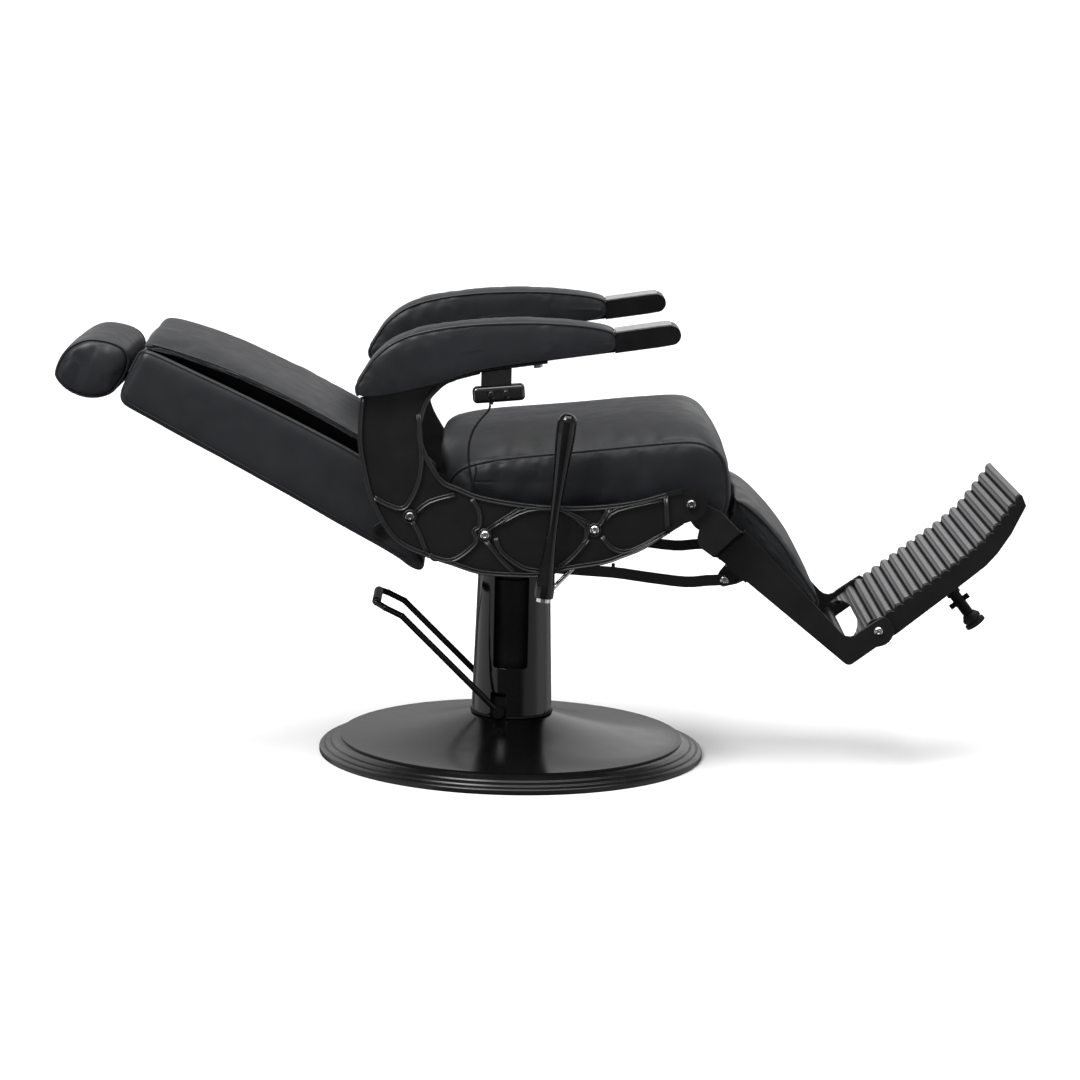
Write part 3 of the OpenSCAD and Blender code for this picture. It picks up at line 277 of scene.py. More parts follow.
LEATHER = leather()
PIPING = piping_leather()
THREAD = thread()
SATIN = paint("satin_black", 0.15, 0.20, 0.002, 0.003, 0.10, 0.0, 0.22)
# Painted highlight: the ribs and boss rings get a lighter, shinier copy of the casting's black
# paint, so they read brighter than its webs
RIB_PAINTED_HIGHLIGHT = paint("rib_black_painted_highlight", 0.30, 0.38, 0.005, 0.008, 0.2, 0.0, 0.5)
RIM = paint("satin_black_rim", 0.20, 0.28, 0.004, 0.006, 0.2, 0.0, 0.36)
CAST = paint("casting_black", 0.30, 0.38, 0.003, 0.005, 0.4, 0.0, 0.40)
FRAME = paint("frame_black", 0.32, 0.42, 0.004, 0.006, 0.35, 0.0, 0.3)
PEDAL = paint("pedal_black", 0.12, 0.2, 0.002, 0.004, 0.15, 0.0, 0.4)
GLOSS = paint("gloss_black", 0.05, 0.09, 0.002, 0.003, 0.04, 0.0, 0.42)
PUMP = paint("pump_black", 0.45, 0.58, 0.003, 0.005, 0.5, 0.0, 0.15)
TIP = paint("tip_black", 0.30, 0.40, 0.002, 0.004, 0.4, 0.0, 0.2)
RUBBER = paint("black_rubber", 0.55, 0.7, 0.006, 0.010, 0.6, 0.0, 0.25)
PLASTIC = paint("gloss_plastic", 0.08, 0.12, 0.002, 0.003, 0.06, 0.6, 0.8)
BUTTON = paint("button_plastic", 0.12, 0.18, 0.004, 0.007, 0.08, 0.0, 0.4)
LEAD = paint("lead_plastic", 0.4, 0.5, 0.004, 0.006, 0.3, 0.0, 0.3)
CHROME = metal("chrome", (0.80, 0.81, 0.82), 0.08, 0.16)
DARK_BOLT = metal("blackened_steel", (0.05, 0.05, 0.053), 0.25, 0.36)
BOLT = metal("zinc_bolt", (0.30, 0.30, 0.30), 0.16, 0.26)
STEEL = metal("bare_steel", (0.55, 0.56, 0.57), 0.26, 0.38)
SILVER = metal("silver", (0.74, 0.75, 0.76), 0.26, 0.36)
TREAD_PAINTED_LIGHT = tread_painted_light()
SHADE_CLOTH = painted_shade_cloth()
WOOD = wood()

FINISH = [
    (SATIN, ["base_cover", "swivel_hub", "base_plate"]),
    (RIM, ["base_rim"]),
    (GLOSS, ["column_cover", "lever_grip"]),
    (PUMP, ["pump_body", "pump_gland"]),
    (CAST, ["side_panel_right", "side_panel_left"]),
    (FRAME, ["seat_frame", "back_frame", "leg_arm_right", "leg_arm_left", "leg_crossbar",
             "link_right", "link_left", "foot_frame", "headrest_socket", "handset_bracket",
             "strut_cylinder"]),
    (PEDAL, ["pedal_loop"]),
    (BOLT, ["pivot_bolts"]),
    (TIP, ["arm_tip_right", "arm_tip_left", "foot_post"]),
    (CHROME, ["panel_bolts", "piston_rod", "headrest_bar", "strut_rod", "lever_shaft",
              "link_bolts", "foot_pin"]),
    (STEEL, ["flange_bolts", "pedal_shaft", "arm_nuts"]),
    (DARK_BOLT, ["back_bolts", "pedal_bolts"]),
    (SILVER, ["arm_cap_right", "arm_cap_left"]),
    (TREAD_PAINTED_LIGHT, ["foot_tread"]),
    (RUBBER, ["column_gasket", "pedal_tread", "lead_grommet", "foot_cap"]),
    (PLASTIC, ["handset_body"]),
    (BUTTON, ["button_front", "button_rear"]),
    (WOOD, ["seat_board", "back_board", "calf_board"]),
    (LEATHER, ["seat_cushion", "back_shell", "back_cushion", "headrest_pillow",
               "arm_pad_right", "arm_pad_left", "calf_pad"]),
    (LEAD, ["handset_lead"]),
]
for mat, names in FINISH:
    for name in names:
        data = NODES[name].data
        data.materials.clear()
        data.materials.append(mat)


# ---------------------------------------------------------------- edges of the hard parts
# Width of the rounding and the nodes that get it; the cast ribs and the tread are too fine for it
ROUNDED = {
    1.0: ["leg_arm_right", "leg_arm_left", "link_right", "link_left", "foot_frame", "back_frame",
          "column_cover", "arm_tip_right", "arm_tip_left", "leg_crossbar", "base_rim",
          "foot_cap"],
    0.7: ["handset_bracket", "seat_frame", "headrest_socket", "button_front", "button_rear",
          "panel_bolts", "pivot_bolts", "link_bolts", "foot_pin"],
}
SHARP = math.radians(34.0)


def round_edges():
    """Breaks the sharp edges of the CAD parts, as castings, plates and mouldings have them."""
    for width, names in ROUNDED.items():
        for name in names:
            obj = NODES[name]
            weld = obj.modifiers.new("weld", "WELD")
            weld.merge_threshold = 1e-5
            flat = obj.modifiers.new("flat", "DECIMATE")
            flat.decimate_type = "DISSOLVE"
            flat.angle_limit = 0.01
            edge = obj.modifiers.new("edge", "BEVEL")
            edge.width = width * MM
            edge.segments = 2
            edge.limit_method = "ANGLE"
            edge.angle_limit = SHARP
            edge.use_clamp_overlap = False
            shade = obj.modifiers.new("shade", "WEIGHTED_NORMAL")
            shade.weight = 60
            for polygon in obj.data.polygons:
                polygon.use_smooth = True


round_edges()


# ---------------------------------------------------------------- curves and frames
def on_deck(p, y):
    return Vector((p[0], y, p[1] + DECK)) * MM


def turned(pivot, angle):
    """Places a point (along, out) of a plane turned by angle about a pivot."""
    c, s = math.cos(angle), math.sin(angle)

    def place(p, y):
        x = pivot[0] + p[0] * c + p[1] * s
        z = pivot[1] - p[0] * s + p[1] * c
        return Vector((x, y, z)) * MM

    return place


on_back = turned(BACK_PIVOT, RECLINE)
on_leg = turned(LEG_PIVOT, LEG)


def from_back(p):
    """How far a world point lies along the back and out of it."""
    c, s = math.cos(RECLINE), math.sin(RECLINE)
    x, z = p.x / MM - BACK_PIVOT[0], p.z / MM - BACK_PIVOT[1]
    return x * c - z * s, x * s + z * c


def arc(c, r, a0, a1, n=8):
    angles = [math.radians(a0 + (a1 - a0) * i / n) for i in range(n + 1)]
    return [(c[0] + r * math.cos(a), c[1] + r * math.sin(a)) for a in angles]


def rounded(points, closed, times=3):
    """Cuts the corners of a line, over and over, so that it turns smoothly."""
    for _ in range(times):
        out = [] if closed else [points[0]]
        last = len(points) if closed else len(points) - 1
        for i in range(last):
            a, b = points[i], points[(i + 1) % len(points)]
            out.append(tuple(a[k] * 0.75 + b[k] * 0.25 for k in range(len(a))))
            out.append(tuple(a[k] * 0.25 + b[k] * 0.75 for k in range(len(a))))
        if not closed:
            out.append(points[-1])
        points = out
    return points


def catmull(points, n=3):
    """A smooth line through points, with n spans between two of them."""
    out = []
    m = len(points) - 1
    for i in range(m):
        a, b = Vector(points[max(i - 1, 0)]), Vector(points[i])
        c, d = Vector(points[i + 1]), Vector(points[min(i + 2, m)])
        for k in range(n):
            t = k / n
            out.append(
                (2 * b + (c - a) * t + (2 * a - 5 * b + 4 * c - d) * t * t
                 + (3 * b - a - 3 * c + d) * t ** 3) / 2
            )
    out.append(Vector(points[-1]))
    return out


def even(points, step, closed):
    """The same line with its points about step apart."""
    line = [Vector(p) for p in points] + ([Vector(points[0])] if closed else [])
    total = sum((b - a).length for a, b in zip(line, line[1:]))
    count = max(2, round(total / step))
    out, walked, i = [], 0.0, 0
    for k in range(count + (0 if closed else 1)):
        want = total * k / count
        while i < len(line) - 2 and walked + (line[i + 1] - line[i]).length < want:
            walked += (line[i + 1] - line[i]).length
            i += 1
        part = (line[i + 1] - line[i]).length
        f = 0.0 if part == 0 else min(1.0, (want - walked) / part)
        out.append(tuple(line[i].lerp(line[i + 1], f)))
    return out


def nearest(p, spine):
    """The point of a polyline nearest to p."""
    best = None
    for a, b in zip(spine, spine[1:]):
        a, b = Vector(a), Vector(b)
        d = b - a
        f = max(0.0, min(1.0, (Vector(p) - a).dot(d) / d.length_squared))
        q = a + d * f
        if best is None or (Vector(p) - q).length < best[0]:
            best = ((Vector(p) - q).length, q)
    return best[1]


def new_mesh(name, verts, faces, mat, smooth=True, closed=False):
    data = bpy.data.meshes.new(name)
    data.from_pydata(verts, [], faces)
    data.update()
    obj = bpy.data.objects.new(name, data)
    bpy.context.scene.collection.objects.link(obj)
    bm = bmesh.new()
    bm.from_mesh(data)
    bmesh.ops.remove_doubles(bm, verts=bm.verts, dist=1e-5)
    if closed:
        bmesh.ops.holes_fill(bm, edges=[e for e in bm.edges if e.is_boundary], sides=0)
    bmesh.ops.recalc_face_normals(bm, faces=bm.faces)
    bm.to_mesh(data)
    bm.free()
    for p in data.polygons:
        p.use_smooth = smooth
    data.materials.append(mat)
    return obj


def tube(name, points, radius, mat, closed=False, sides=8):
    """A round cord through world points, as a curve object; its radius is in mm."""
    data = bpy.data.curves.new(name, "CURVE")
    data.dimensions = "3D"
    data.bevel_depth = radius * MM
    data.bevel_resolution = sides // 4
    data.use_fill_caps = True
    spline = data.splines.new("POLY")
    spline.points.add(len(points) - 1)
    for slot, p in zip(spline.points, points):
        slot.co = (*p, 1.0)
    spline.use_cyclic_u = closed
    spline.use_smooth = True
    obj = bpy.data.objects.new(name, data)
    bpy.context.scene.collection.objects.link(obj)
    data.materials.append(mat)
    return obj


# ---------------------------------------------------------------- upholstery
# Where the rings of a padded form lie: mm in from its side, and the share of the way from the
# rim of an end face to its middle line
EDGE = (0.0, 1.5, 3.5, 7.0, 12.0, 20.0, 32.0, 48.0, 68.0, 92.0, 120.0, 150.0, 180.0, 212.0)
INWARD = (0.03, 0.07, 0.13, 0.22, 0.34, 0.48, 0.64, 0.82, 1.0)


SEAM_FADE = 5.0  # how fast a seam's groove runs out over the cushion's face
END_FADE = 7.0  # and how fast an end face swells inside its seam


class Pad:
    """A padded form. side is its outline at both ends and mid its outline halfway, point for
    point. power says how late each point turns from mid to side; half(p) is the half width at a
    point, y0 its middle plane, groove the depth of its seams and puff the swell of its ends."""

    def __init__(self, place, half, side, mid, power=4.0, y0=0.0, groove=3.0, puff=5.0,
                 step=12.0, times=2):
        powers = power if isinstance(power, list) else [power] * len(side)
        joined = [(*m, *s, w) for m, s, w in zip(mid, side, powers)]
        joined = even(rounded(joined, True, times), step, True)
        self.mid = [Vector(p[:2]) for p in joined]
        self.side = [Vector(p[2:4]) for p in joined]
        self.power = [p[4] for p in joined]
        self.place, self.half, self.y0 = place, half, y0
        self.groove, self.puff, self.step = groove, puff, step
        self.widest = max(half(p) for p in self.side)
        area = sum(a[0] * b[1] - b[0] * a[1] for a, b in zip(self.side, self.turn(1)))
        self.sign = 1.0 if area > 0 else -1.0

    def turn(self, k):
        return self.side[k:] + self.side[:k]

    def inward(self, i):
        d = (self.side[(i + 1) % len(self.side)] - self.side[i - 1]).normalized()
        return Vector((-d.y, d.x)) * self.sign

    def at(self, i, v, lift=0.0):
        """The world point of outline point i at v of the half width, lifted off the surface."""
        p = self.mid[i].lerp(self.side[i], abs(v) ** self.power[i])
        p = p - self.inward(i) * lift
        return self.place(p, self.y0 + v * self.half(self.side[i]))

    def seam(self, i, end, inset=1.2):
        """A point of the seam round an end face, where the piping lies."""
        p = self.side[i] + self.inward(i) * inset
        return self.place(p, self.y0 + end * (self.half(self.side[i]) - inset))

    def index(self, p):
        return min(range(len(self.side)), key=lambda i: (self.side[i] - Vector(p)).length)

    def run(self, a, b):
        """Indices of the outline between its points nearest a and b, whichever way it is drawn."""
        i, j = (self.index(p) for p in ((a, b) if self.sign > 0 else (b, a)))
        count = len(self.side)
        return [(i + k) % count for k in range((j - i) % count + 1)]

    def build(self, name, spine, mat, rest=None):
        """The mesh, closed on the spine at both ends, and the points that cloth is held at: the
        seams, and what lies on a board, where rest(p) is true."""
        count = len(self.side)
        steps = [d for d in EDGE if d < self.widest - 10.0]
        rings = [-1.0 + d / self.widest for d in steps] + [0.0]
        rings += [-v for v in reversed(rings[:-1])]
        verts, faces, held = [], [], []
        for v in rings:
            from_edge = (1.0 - abs(v)) * self.widest
            sink = self.groove * math.exp(-from_edge / SEAM_FADE)
            for i in range(count):
                if from_edge < 3.0 or (rest and rest(self.mid[i])):
                    held.append(len(verts))
                verts.append(self.at(i, v, -sink))
        for k in range(len(rings) - 1):
            for i in range(count):
                j = (i + 1) % count
                a, b = k * count, (k + 1) * count
                faces.append((a + i, a + j, b + j, b + i))
        stops = [Vector(p) for p in even(spine, 1.7 * self.step, False)]
        targets = []
        for p in self.side:
            q = nearest(p, spine)
            targets.append(min(stops, key=lambda stop: (stop - q).length))
        for end, ring in ((-1, 0), (1, len(rings) - 1)):
            before = [ring * count + i for i in range(count)]
            for w in INWARD:
                now = []
                for i in range(count):
                    p = (self.side[i] + self.inward(i) * self.groove).lerp(targets[i], w)
                    deep = (self.side[i] - p).length
                    lift = (self.groove + self.puff) * (1.0 - math.exp(-deep / END_FADE))
                    if w < 0.05:
                        held.append(len(verts))
                    now.append(len(verts))
                    y = self.y0 + end * (self.half(p) + lift - self.groove)
                    verts.append(self.place(p, y))
                for i in range(count):
                    j = (i + 1) % count
                    faces.append((before[i], before[j], now[j], now[i]))
                before = now
        pins = [verts[i] for i in held]
        return new_mesh(name, verts, faces, mat, closed=True), pins


CLOTH_FRAMES = 20


def inflate(obj, pins, cap):
    """Lets cloth fill out between its seams, then keeps at most cap of what each point moved."""
    data = obj.data
    tree = kdtree.KDTree(len(pins))
    for i, p in enumerate(pins):
        tree.insert(p, i)
    tree.balance()
    held = [v.index for v in data.vertices if tree.find(v.co)[2] < 1e-4]
    group = obj.vertex_groups.new(name="held")
    group.add(held, 1.0, "REPLACE")
    cloth = obj.modifiers.new("cloth", "CLOTH")
    s = cloth.settings
    s.quality = 4
    s.mass = 0.4
    s.tension_stiffness = 30
    s.compression_stiffness = 30
    s.shear_stiffness = 8
    s.bending_stiffness = 1.5
    s.shrink_min = -0.02
    s.use_pressure = True
    s.uniform_pressure_force = 3.0
    s.vertex_group_mass = "held"
    s.effector_weights.gravity = 0.0
    cloth.collision_settings.use_collision = False
    cloth.point_cache.frame_end = CLOTH_FRAMES
    scene = bpy.context.scene
    for f in range(1, CLOTH_FRAMES + 1):
        scene.frame_set(f)
    graph = bpy.context.evaluated_depsgraph_get()
    blown = [v.co.copy() for v in obj.evaluated_get(graph).data.vertices]
    obj.modifiers.remove(cloth)
    obj.vertex_groups.remove(group)
    scene.frame_set(1)
    for v, co in zip(data.vertices, blown):
        d = co - v.co
        if d.length > 1e-7:
            keep = cap * MM * math.tanh(d.length / (cap * MM))
            v.co = v.co + d.normalized() * keep
    data.update()


def ripple(obj, amount, size, seed):
    """Moves each point a little along its normal, as stuffed leather is never quite flat."""
    data = obj.data
    moves = []
    shift = Vector((seed * 7.3, seed * 3.1, seed * 5.7))
    for v in data.vertices:
        p = v.co * (1000.0 / size) + shift
        n = noise.noise(p) + 0.5 * noise.noise(p * 2.1) + 0.25 * noise.noise(p * 4.3)
        moves.append(v.co + v.normal * n * amount * MM)
    for v, co in zip(data.vertices, moves):
        v.co = co
    data.update()


def soften(obj):
    mod = obj.modifiers.new("soft", "SUBSURF")
    mod.levels = 1
    mod.render_levels = 1


def stitches(name, line, normal, body):
    """A row of sewn stitches along world points, standing a little proud along normal."""
    pitch, long, thick = 4.2, 2.7, 0.42
    line = [Vector(p) for p in even([tuple(Vector(p) / MM) for p in line], pitch, False)]
    up = Vector(normal).normalized()
    verts, faces = [], []
    for a, b in zip(line, line[1:]):
        d = (b - a).normalized()
        side = d.cross(up).normalized() * thick
        top = side.cross(d).normalized() * thick * 1.2
        mid = (a + b) / 2
        n = len(verts)
        ends = [mid - d * long / 2 - top * 0.6, mid + d * long / 2 - top * 0.6]
        ring = [mid + side, mid + top, mid - side, mid - top]
        verts += [p * MM for p in ends + ring]
        for k in range(4):
            faces.append((n, n + 2 + k, n + 2 + (k + 1) % 4))
            faces.append((n + 1, n + 2 + (k + 1) % 4, n + 2 + k))
    obj = new_mesh(name, verts, faces, THREAD)
    return piece(obj, body)


def piece(obj, body, nodes=()):
    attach(obj, body)
    if nodes:
        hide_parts(*nodes)
    return obj


def piping(pad, name, body, run, radius=2.6, closed=False):
    for end, side in SIDES:
        line = [pad.seam(i, end) for i in run]
        piece(tube(f"{name}_{side}", line, radius, PIPING, closed), body)


# ---------------------------------------------------------------- ribs of the side panels
PANEL_FACE = 295.0
BOSSES = [(-180, 83), (-53, 53.5), (132, 66)]
LOWER_EDGE = [
    (-266, 283), (-269, 245), (-269, 206), (-263, 170), (-252, 123), (-238, 90), (-219, 57),
    (-195, 33), (-154, 15), (-109, 1), (-59, -14), (-2, -17), (45, -16), (86, -4), (148, 7),
    (183, 20), (217, 35), (254, 60),
]
UPPER_EDGE = [
    (252, 132), (214, 120), (180, 113), (132, 107), (77, 105), (8, 109),
    (-61, 120), (-96, 133), (-124, 145), (-143, 171), (-158, 201), (-163, 232), (-158, 258),
    (-150, 280), (-136, 297), (-122, 309), (-107, 315),
]
RIBS = [
    [(-168, 258), (-163, 202), (-162, 173), (-167, 140), (-182, 106), (-196, 96), (-220, 103),
     (-241, 114)],
    [(-170, 90), (-147, 109), (-104, 122)],
    [(-176, 74), (-164, 54), (-150, 20)],
    [(-76, 115), (-64, 96), (-62, 70), (-72, 60), (-67, 43), (-84, 24), (-109, 9), (-136, 13),
     (-145, 18)],
    [(-51, 61), (7, 101)],
    [(-51, 44), (-24, 11), (0, -11)],
    [(-34, 49), (-24, 25), (12, -1), (43, -6)],
    [(-28, 74), (19, 98), (77, 99), (112, 75), (119, 65), (113, 40), (79, 1)],
    [(124, 77), (84, 95)],
    [(138, 74), (143, 79), (156, 104)],
    [(122, 50), (96, 19), (69, -3)],
    [(145, 55), (165, 34), (196, 32), (254, 64)],
    [(151, 84), (170, 101), (245, 120)],
    [(251, 126), (256, 62)],
]
EDGE_SHIFT = 3.6  # the panel's own edges have their rib this far inside the outline
# Section of a rib, across and out: two rounded lips with a hollow between them
LIPS = [(-4.0, -3.0), (-4.0, 0.2), (-3.3, 1.3), (-2.2, 1.2), (-1.3, 0.3), (0.0, 0.1), (1.3, 0.3),
        (2.2, 1.2), (3.3, 1.3), (4.0, 0.2), (4.0, -3.0)]


def panel_ribs():
    for end, name in SIDES:
        verts, faces = [], []
        for k, points in enumerate([LOWER_EDGE, UPPER_EDGE] + RIBS):
            line = [Vector(p[:2]) for p in catmull([(*p, 0.0) for p in points])]
            first = len(verts)
            shift = EDGE_SHIFT if k < 2 else 0.0
            for i, p in enumerate(line):
                way = (line[min(i + 1, len(line) - 1)] - line[max(i - 1, 0)]).normalized()
                across = Vector((-way.y, way.x))
                for u, h in LIPS:
                    verts.append(on_deck(p + across * (u + shift), end * (PANEL_FACE + h)))
            n = len(LIPS)
            for i in range(len(line) - 1):
                a = first + i * n
                for j in range(n):
                    faces.append((a + j, a + (j + 1) % n, a + n + (j + 1) % n, a + n + j))
            faces.append(tuple(range(first, first + n)))
            faces.append(tuple(range(len(verts) - n, len(verts))))
        ribs = new_mesh("panel_ribs_" + name, verts, faces, RIB_PAINTED_HIGHLIGHT)
        piece(ribs, "seat")
        for k, boss in enumerate(BOSSES):
            ring = [on_deck(p, end * PANEL_FACE) for p in arc(boss, 10.6, 0, 345, 23)]
            bead = tube(f"boss_ring_{name}_{k}", ring, 1.4, RIB_PAINTED_HIGHLIGHT, closed=True)
            piece(bead, "seat")


# ---------------------------------------------------------------- handset and its lead
HANDSET_Y = 300.0  # its middle, out to the right
HANDSET_MID = (-34.0, 296.0)
HANDSET_TILT = math.radians(5.5)
BUTTONS_X = (-12.5, 12.5)
# Rings of a button's well from the face inwards, each its radius and its y
WELL = ((7.4, -12.0), (7.3, -12.5), (7.0, -12.8), (6.6, -12.6), (6.4, -12.2), (6.4, -6.0))


def handset():
    """The handset as it is moulded: soft edges all round, and a lipped well at each button."""
    length, height, thick, corner, soft = 88.0, 28.0, 24.0, 8.0, 6.5
    c, s = math.cos(HANDSET_TILT), math.sin(HANDSET_TILT)
    verts, faces = [], []

    def point(x, z, y):
        verts.append(on_deck((HANDSET_MID[0] + x * c - z * s, HANDSET_MID[1] + x * s + z * c),
                             y - HANDSET_Y))
        return len(verts) - 1

    def outline(inset, y):
        ring, r = [], corner - inset
        for q in range(4):
            sx, sz = (1, -1, -1, 1)[q], (1, 1, -1, -1)[q]
            for k in range(8):
                a = math.pi / 2 * (q + k / 7)
                ring.append(point(sx * (length / 2 - corner) + r * math.cos(a),
                                  sz * (height / 2 - corner) + r * math.sin(a), y))
        return ring

    def circle(x, r, y, n=28):
        turns = [2 * math.pi * k / n for k in range(n)]
        return [point(x + r * math.cos(a), r * math.sin(a), y) for a in turns]

    def skin(rings):
        for a, b in zip(rings, rings[1:]):
            n = len(a)
            faces.extend((a[i], a[(i + 1) % n], b[(i + 1) % n], b[i]) for i in range(n))

    edge = [(2.5, thick / 2), (0.8, thick / 2 - 0.8), (0.0, thick / 2 - 2.5)]
    edge += [(soft * (1 - math.cos(a)), soft * (1 - math.sin(a)) - thick / 2)
             for a in (math.radians(11.25 * k) for k in range(9))]
    rings = [outline(inset, y) for inset, y in edge]
    skin(rings)
    faces.append(tuple(rings[0]))
    for x in BUTTONS_X:
        well = [circle(x, r, y) for r, y in WELL]
        skin(well)
        faces.append(tuple(well[-1]))
    # the collar that the lead comes out of
    collar = [[point(-14.0 + r * math.cos(math.pi * k / 8), z, r * math.sin(math.pi * k / 8))
               for k in range(16)] for r, z in ((4.2, -12.0), (3.6, -18.0))]
    skin(collar)
    faces.extend([tuple(collar[0]), tuple(collar[1])])
    obj = new_mesh("handset_moulding", verts, faces, PLASTIC)
    # the front face goes in last, round the two wells
    data = obj.data
    bm = bmesh.new()
    bm.from_mesh(data)
    face_y = (-HANDSET_Y - thick / 2) * MM
    front = [e for e in bm.edges
             if e.is_boundary and all(abs(v.co.y - face_y) < 1e-5 for v in e.verts)]
    bmesh.ops.triangle_fill(bm, edges=front, use_beauty=True)
    bmesh.ops.recalc_face_normals(bm, faces=bm.faces)
    bm.to_mesh(data)
    bm.free()
    for p in data.polygons:
        p.use_smooth = True
    data.set_sharp_from_angle(angle=math.radians(40.0))
    piece(obj, "seat", ("handset_body",))


LEAD_WAY_IN = 28.0  # from the handset's middle to the grommet in the panel
LEAD_ROUTE = [
    (x, LEAD_WAY_IN * f - HANDSET_Y, z)
    for x, f, z in (
        (-48, 0, 276), (-50, 0, 268), (-58, 0.04, 258), (-69, 0.07, 244), (-78, 0.18, 226),
        (-83, 0.32, 202), (-82, 0.54, 174), (-78, 0.79, 146), (-75, 0.93, 120), (-75, 1, 108),
        (-75, 1, 101),
    )
]


def handset_lead():
    line = [Vector((p.x, p.y, p.z + DECK)) * MM for p in catmull(LEAD_ROUTE)]
    lead = tube("lead", line, 2.0, LEAD, sides=12)
    piece(lead, "seat", ["handset_lead"])


# ---------------------------------------------------------------- the cushions
def seat_half(p):
    """Half width of the seat at a point, with its rear corners drawn in."""
    return 248.0 - 22.0 * max(0.0, (-52.0 - p[0]) / 70.0) ** 2


def seat_cushion():
    foot, nose = 95.5, (294, 113)
    mid = [(-121, foot + 4), (-126, 146), (-134, 174), (-128, 195), (-104, 209), (-29, 221),
           (115, 233), (222, 245), (287, 250), (312, 245), (335, 227), (352, 200), (366, 165)]
    side = [(-119, foot + 4), (-119, 122), (-113, 142), (-98, 158), (-74, 169), (-29, 179),
            (115, 195), (222, 208), (287, 215), (312, 213), (334, 203), (351, 185), (359, 150)]
    mid += arc(nose, 77, 6, -60)
    side += arc(nose, 66, 6, -60)
    under = [(302, 63), (290, 90), (240, foot), (100, foot), (-40, foot), (-105, foot)]

    def rests(p):
        return p.y < foot + 3 or (p.x - nose[0]) ** 2 + (p.y - nose[1]) ** 2 < 74 ** 2

    pad = Pad(on_deck, seat_half, side + under, mid + under, step=13.0, puff=6.0)
    obj, pins = pad.build("seat_pad", [(-72, 138), (297, 147)], LEATHER, rests)
    inflate(obj, pins, 1.6)
    ripple(obj, 0.7, 120.0, 1)
    soften(obj)
    piece(obj, "seat", nodes=["seat_cushion", "seat_board"])
    piping(pad, "seat_piping", "seat", pad.run((327, 56), (-112, foot + 4)))
    for end, name in SIDES:
        # the side is joined near its rear corner, where a short seam runs down from the piping
        line = [on_deck((-73 + 2 * math.sin(k), 170 - 64 * k / 8), end * 254.2) for k in range(9)]
        piece(tube("seat_boxing_" + name, line, 1.0, PIPING), "seat")


def back_half(p):
    """Half width of the back at a point: it narrows upwards and has rounded top corners."""
    foot_half, top_half, narrows_from, narrows_over = 246.0, 222.0, -60, 472.0
    corner_from, corner_r = -518.0, 14.0
    s, w = p[0], foot_half
    if s <= narrows_from:
        w += (top_half - foot_half) * (narrows_from - s) / narrows_over
    if s < corner_from:
        w -= corner_r - math.sqrt(max(0.0, corner_r ** 2 - (corner_from - s) ** 2))
    return w


def back_shell():
    rear = [(-508, -86), (-400, -83), (-200, -80), (20, -80), (42, -85)]
    chin = arc((58, -74), 10, -75, 55, 4) + [(42, -58), (36, -40), (35, 10), (28, 27)]
    rim_side = [(-14, 34), (-125, 41), (-240, 37), (-348, 31), (-440, 24), (-505, 19), (-526, 15)]
    rim_mid = [(-14, 8)] + [(s, 2) for s in (-125, -240, -348, -440, -500)] + [(-518, 4)]
    top = [(-533, 8), (-533, -20), (-532, -50), (-529, -72), (-520, -82)]
    powers = [4.0] * len(rear) + [8.0] * len(chin) + [20.0] * len(rim_side) + [6.0] * len(top)
    pad = Pad(on_back, lambda p: back_half(p) - 1.5, rear + chin + rim_side + top,
              [(s, t - 1.5) for s, t in rear] + chin + rim_mid + top, powers,
              groove=2.2, puff=3.0, step=10.0)
    obj, _ = pad.build("back_skin", [(-490, -28), (-250, -22), (0, -26), (46, -70)], LEATHER)
    ripple(obj, 0.8, 130.0, 2)
    soften(obj)
    piece(obj, "back", nodes=["back_shell"])
    edge = pad.run((28, 27), (-532, -30))
    piping(pad, "back_piping", "back", edge, radius=2.4)
    for end, name in SIDES:
        # the cover rolls over the shell's edge, inside its piping
        line = [pad.seam(i, end, 6.0) + on_back((0, 3.5), 0) - on_back((0, 0), 0) for i in edge]
        piece(tube("back_roll_" + name, line, 5.0, LEATHER, sides=16), "back")
    seam = pad.run((-526, -70), (40, -82))
    for end, name in SIDES:
        line = []
        for i in seam:
            p = pad.side[i] + pad.inward(i) * 9.0
            line.append(on_back(p, end * (back_half(p) + 1.2)))
        piece(tube("back_seam_" + name, line, 1.0, PIPING), "back")


def strip_foot(s):
    """Height of the lower edge of the cushion's stitched strip, along the back; below it the
    underside gets near-black cloth as painted shade.
    """
    line = [(-530, 13), (-505, 22), (-480, 29), (-452, 35.5), (-400, 45), (-362, 50), (-300, 55.5),
            (-251, 58.5), (-142, 59.5), (-60, 49), (-20, 24)]
    for (a, low), (b, high) in zip(line, line[1:]):
        if s < b:
            return low + (high - low) * (s - a) / (b - a)
    return line[-1][1]


CUSHION_INSET = 26.0  # how much narrower the cushion is than the shell, at each side


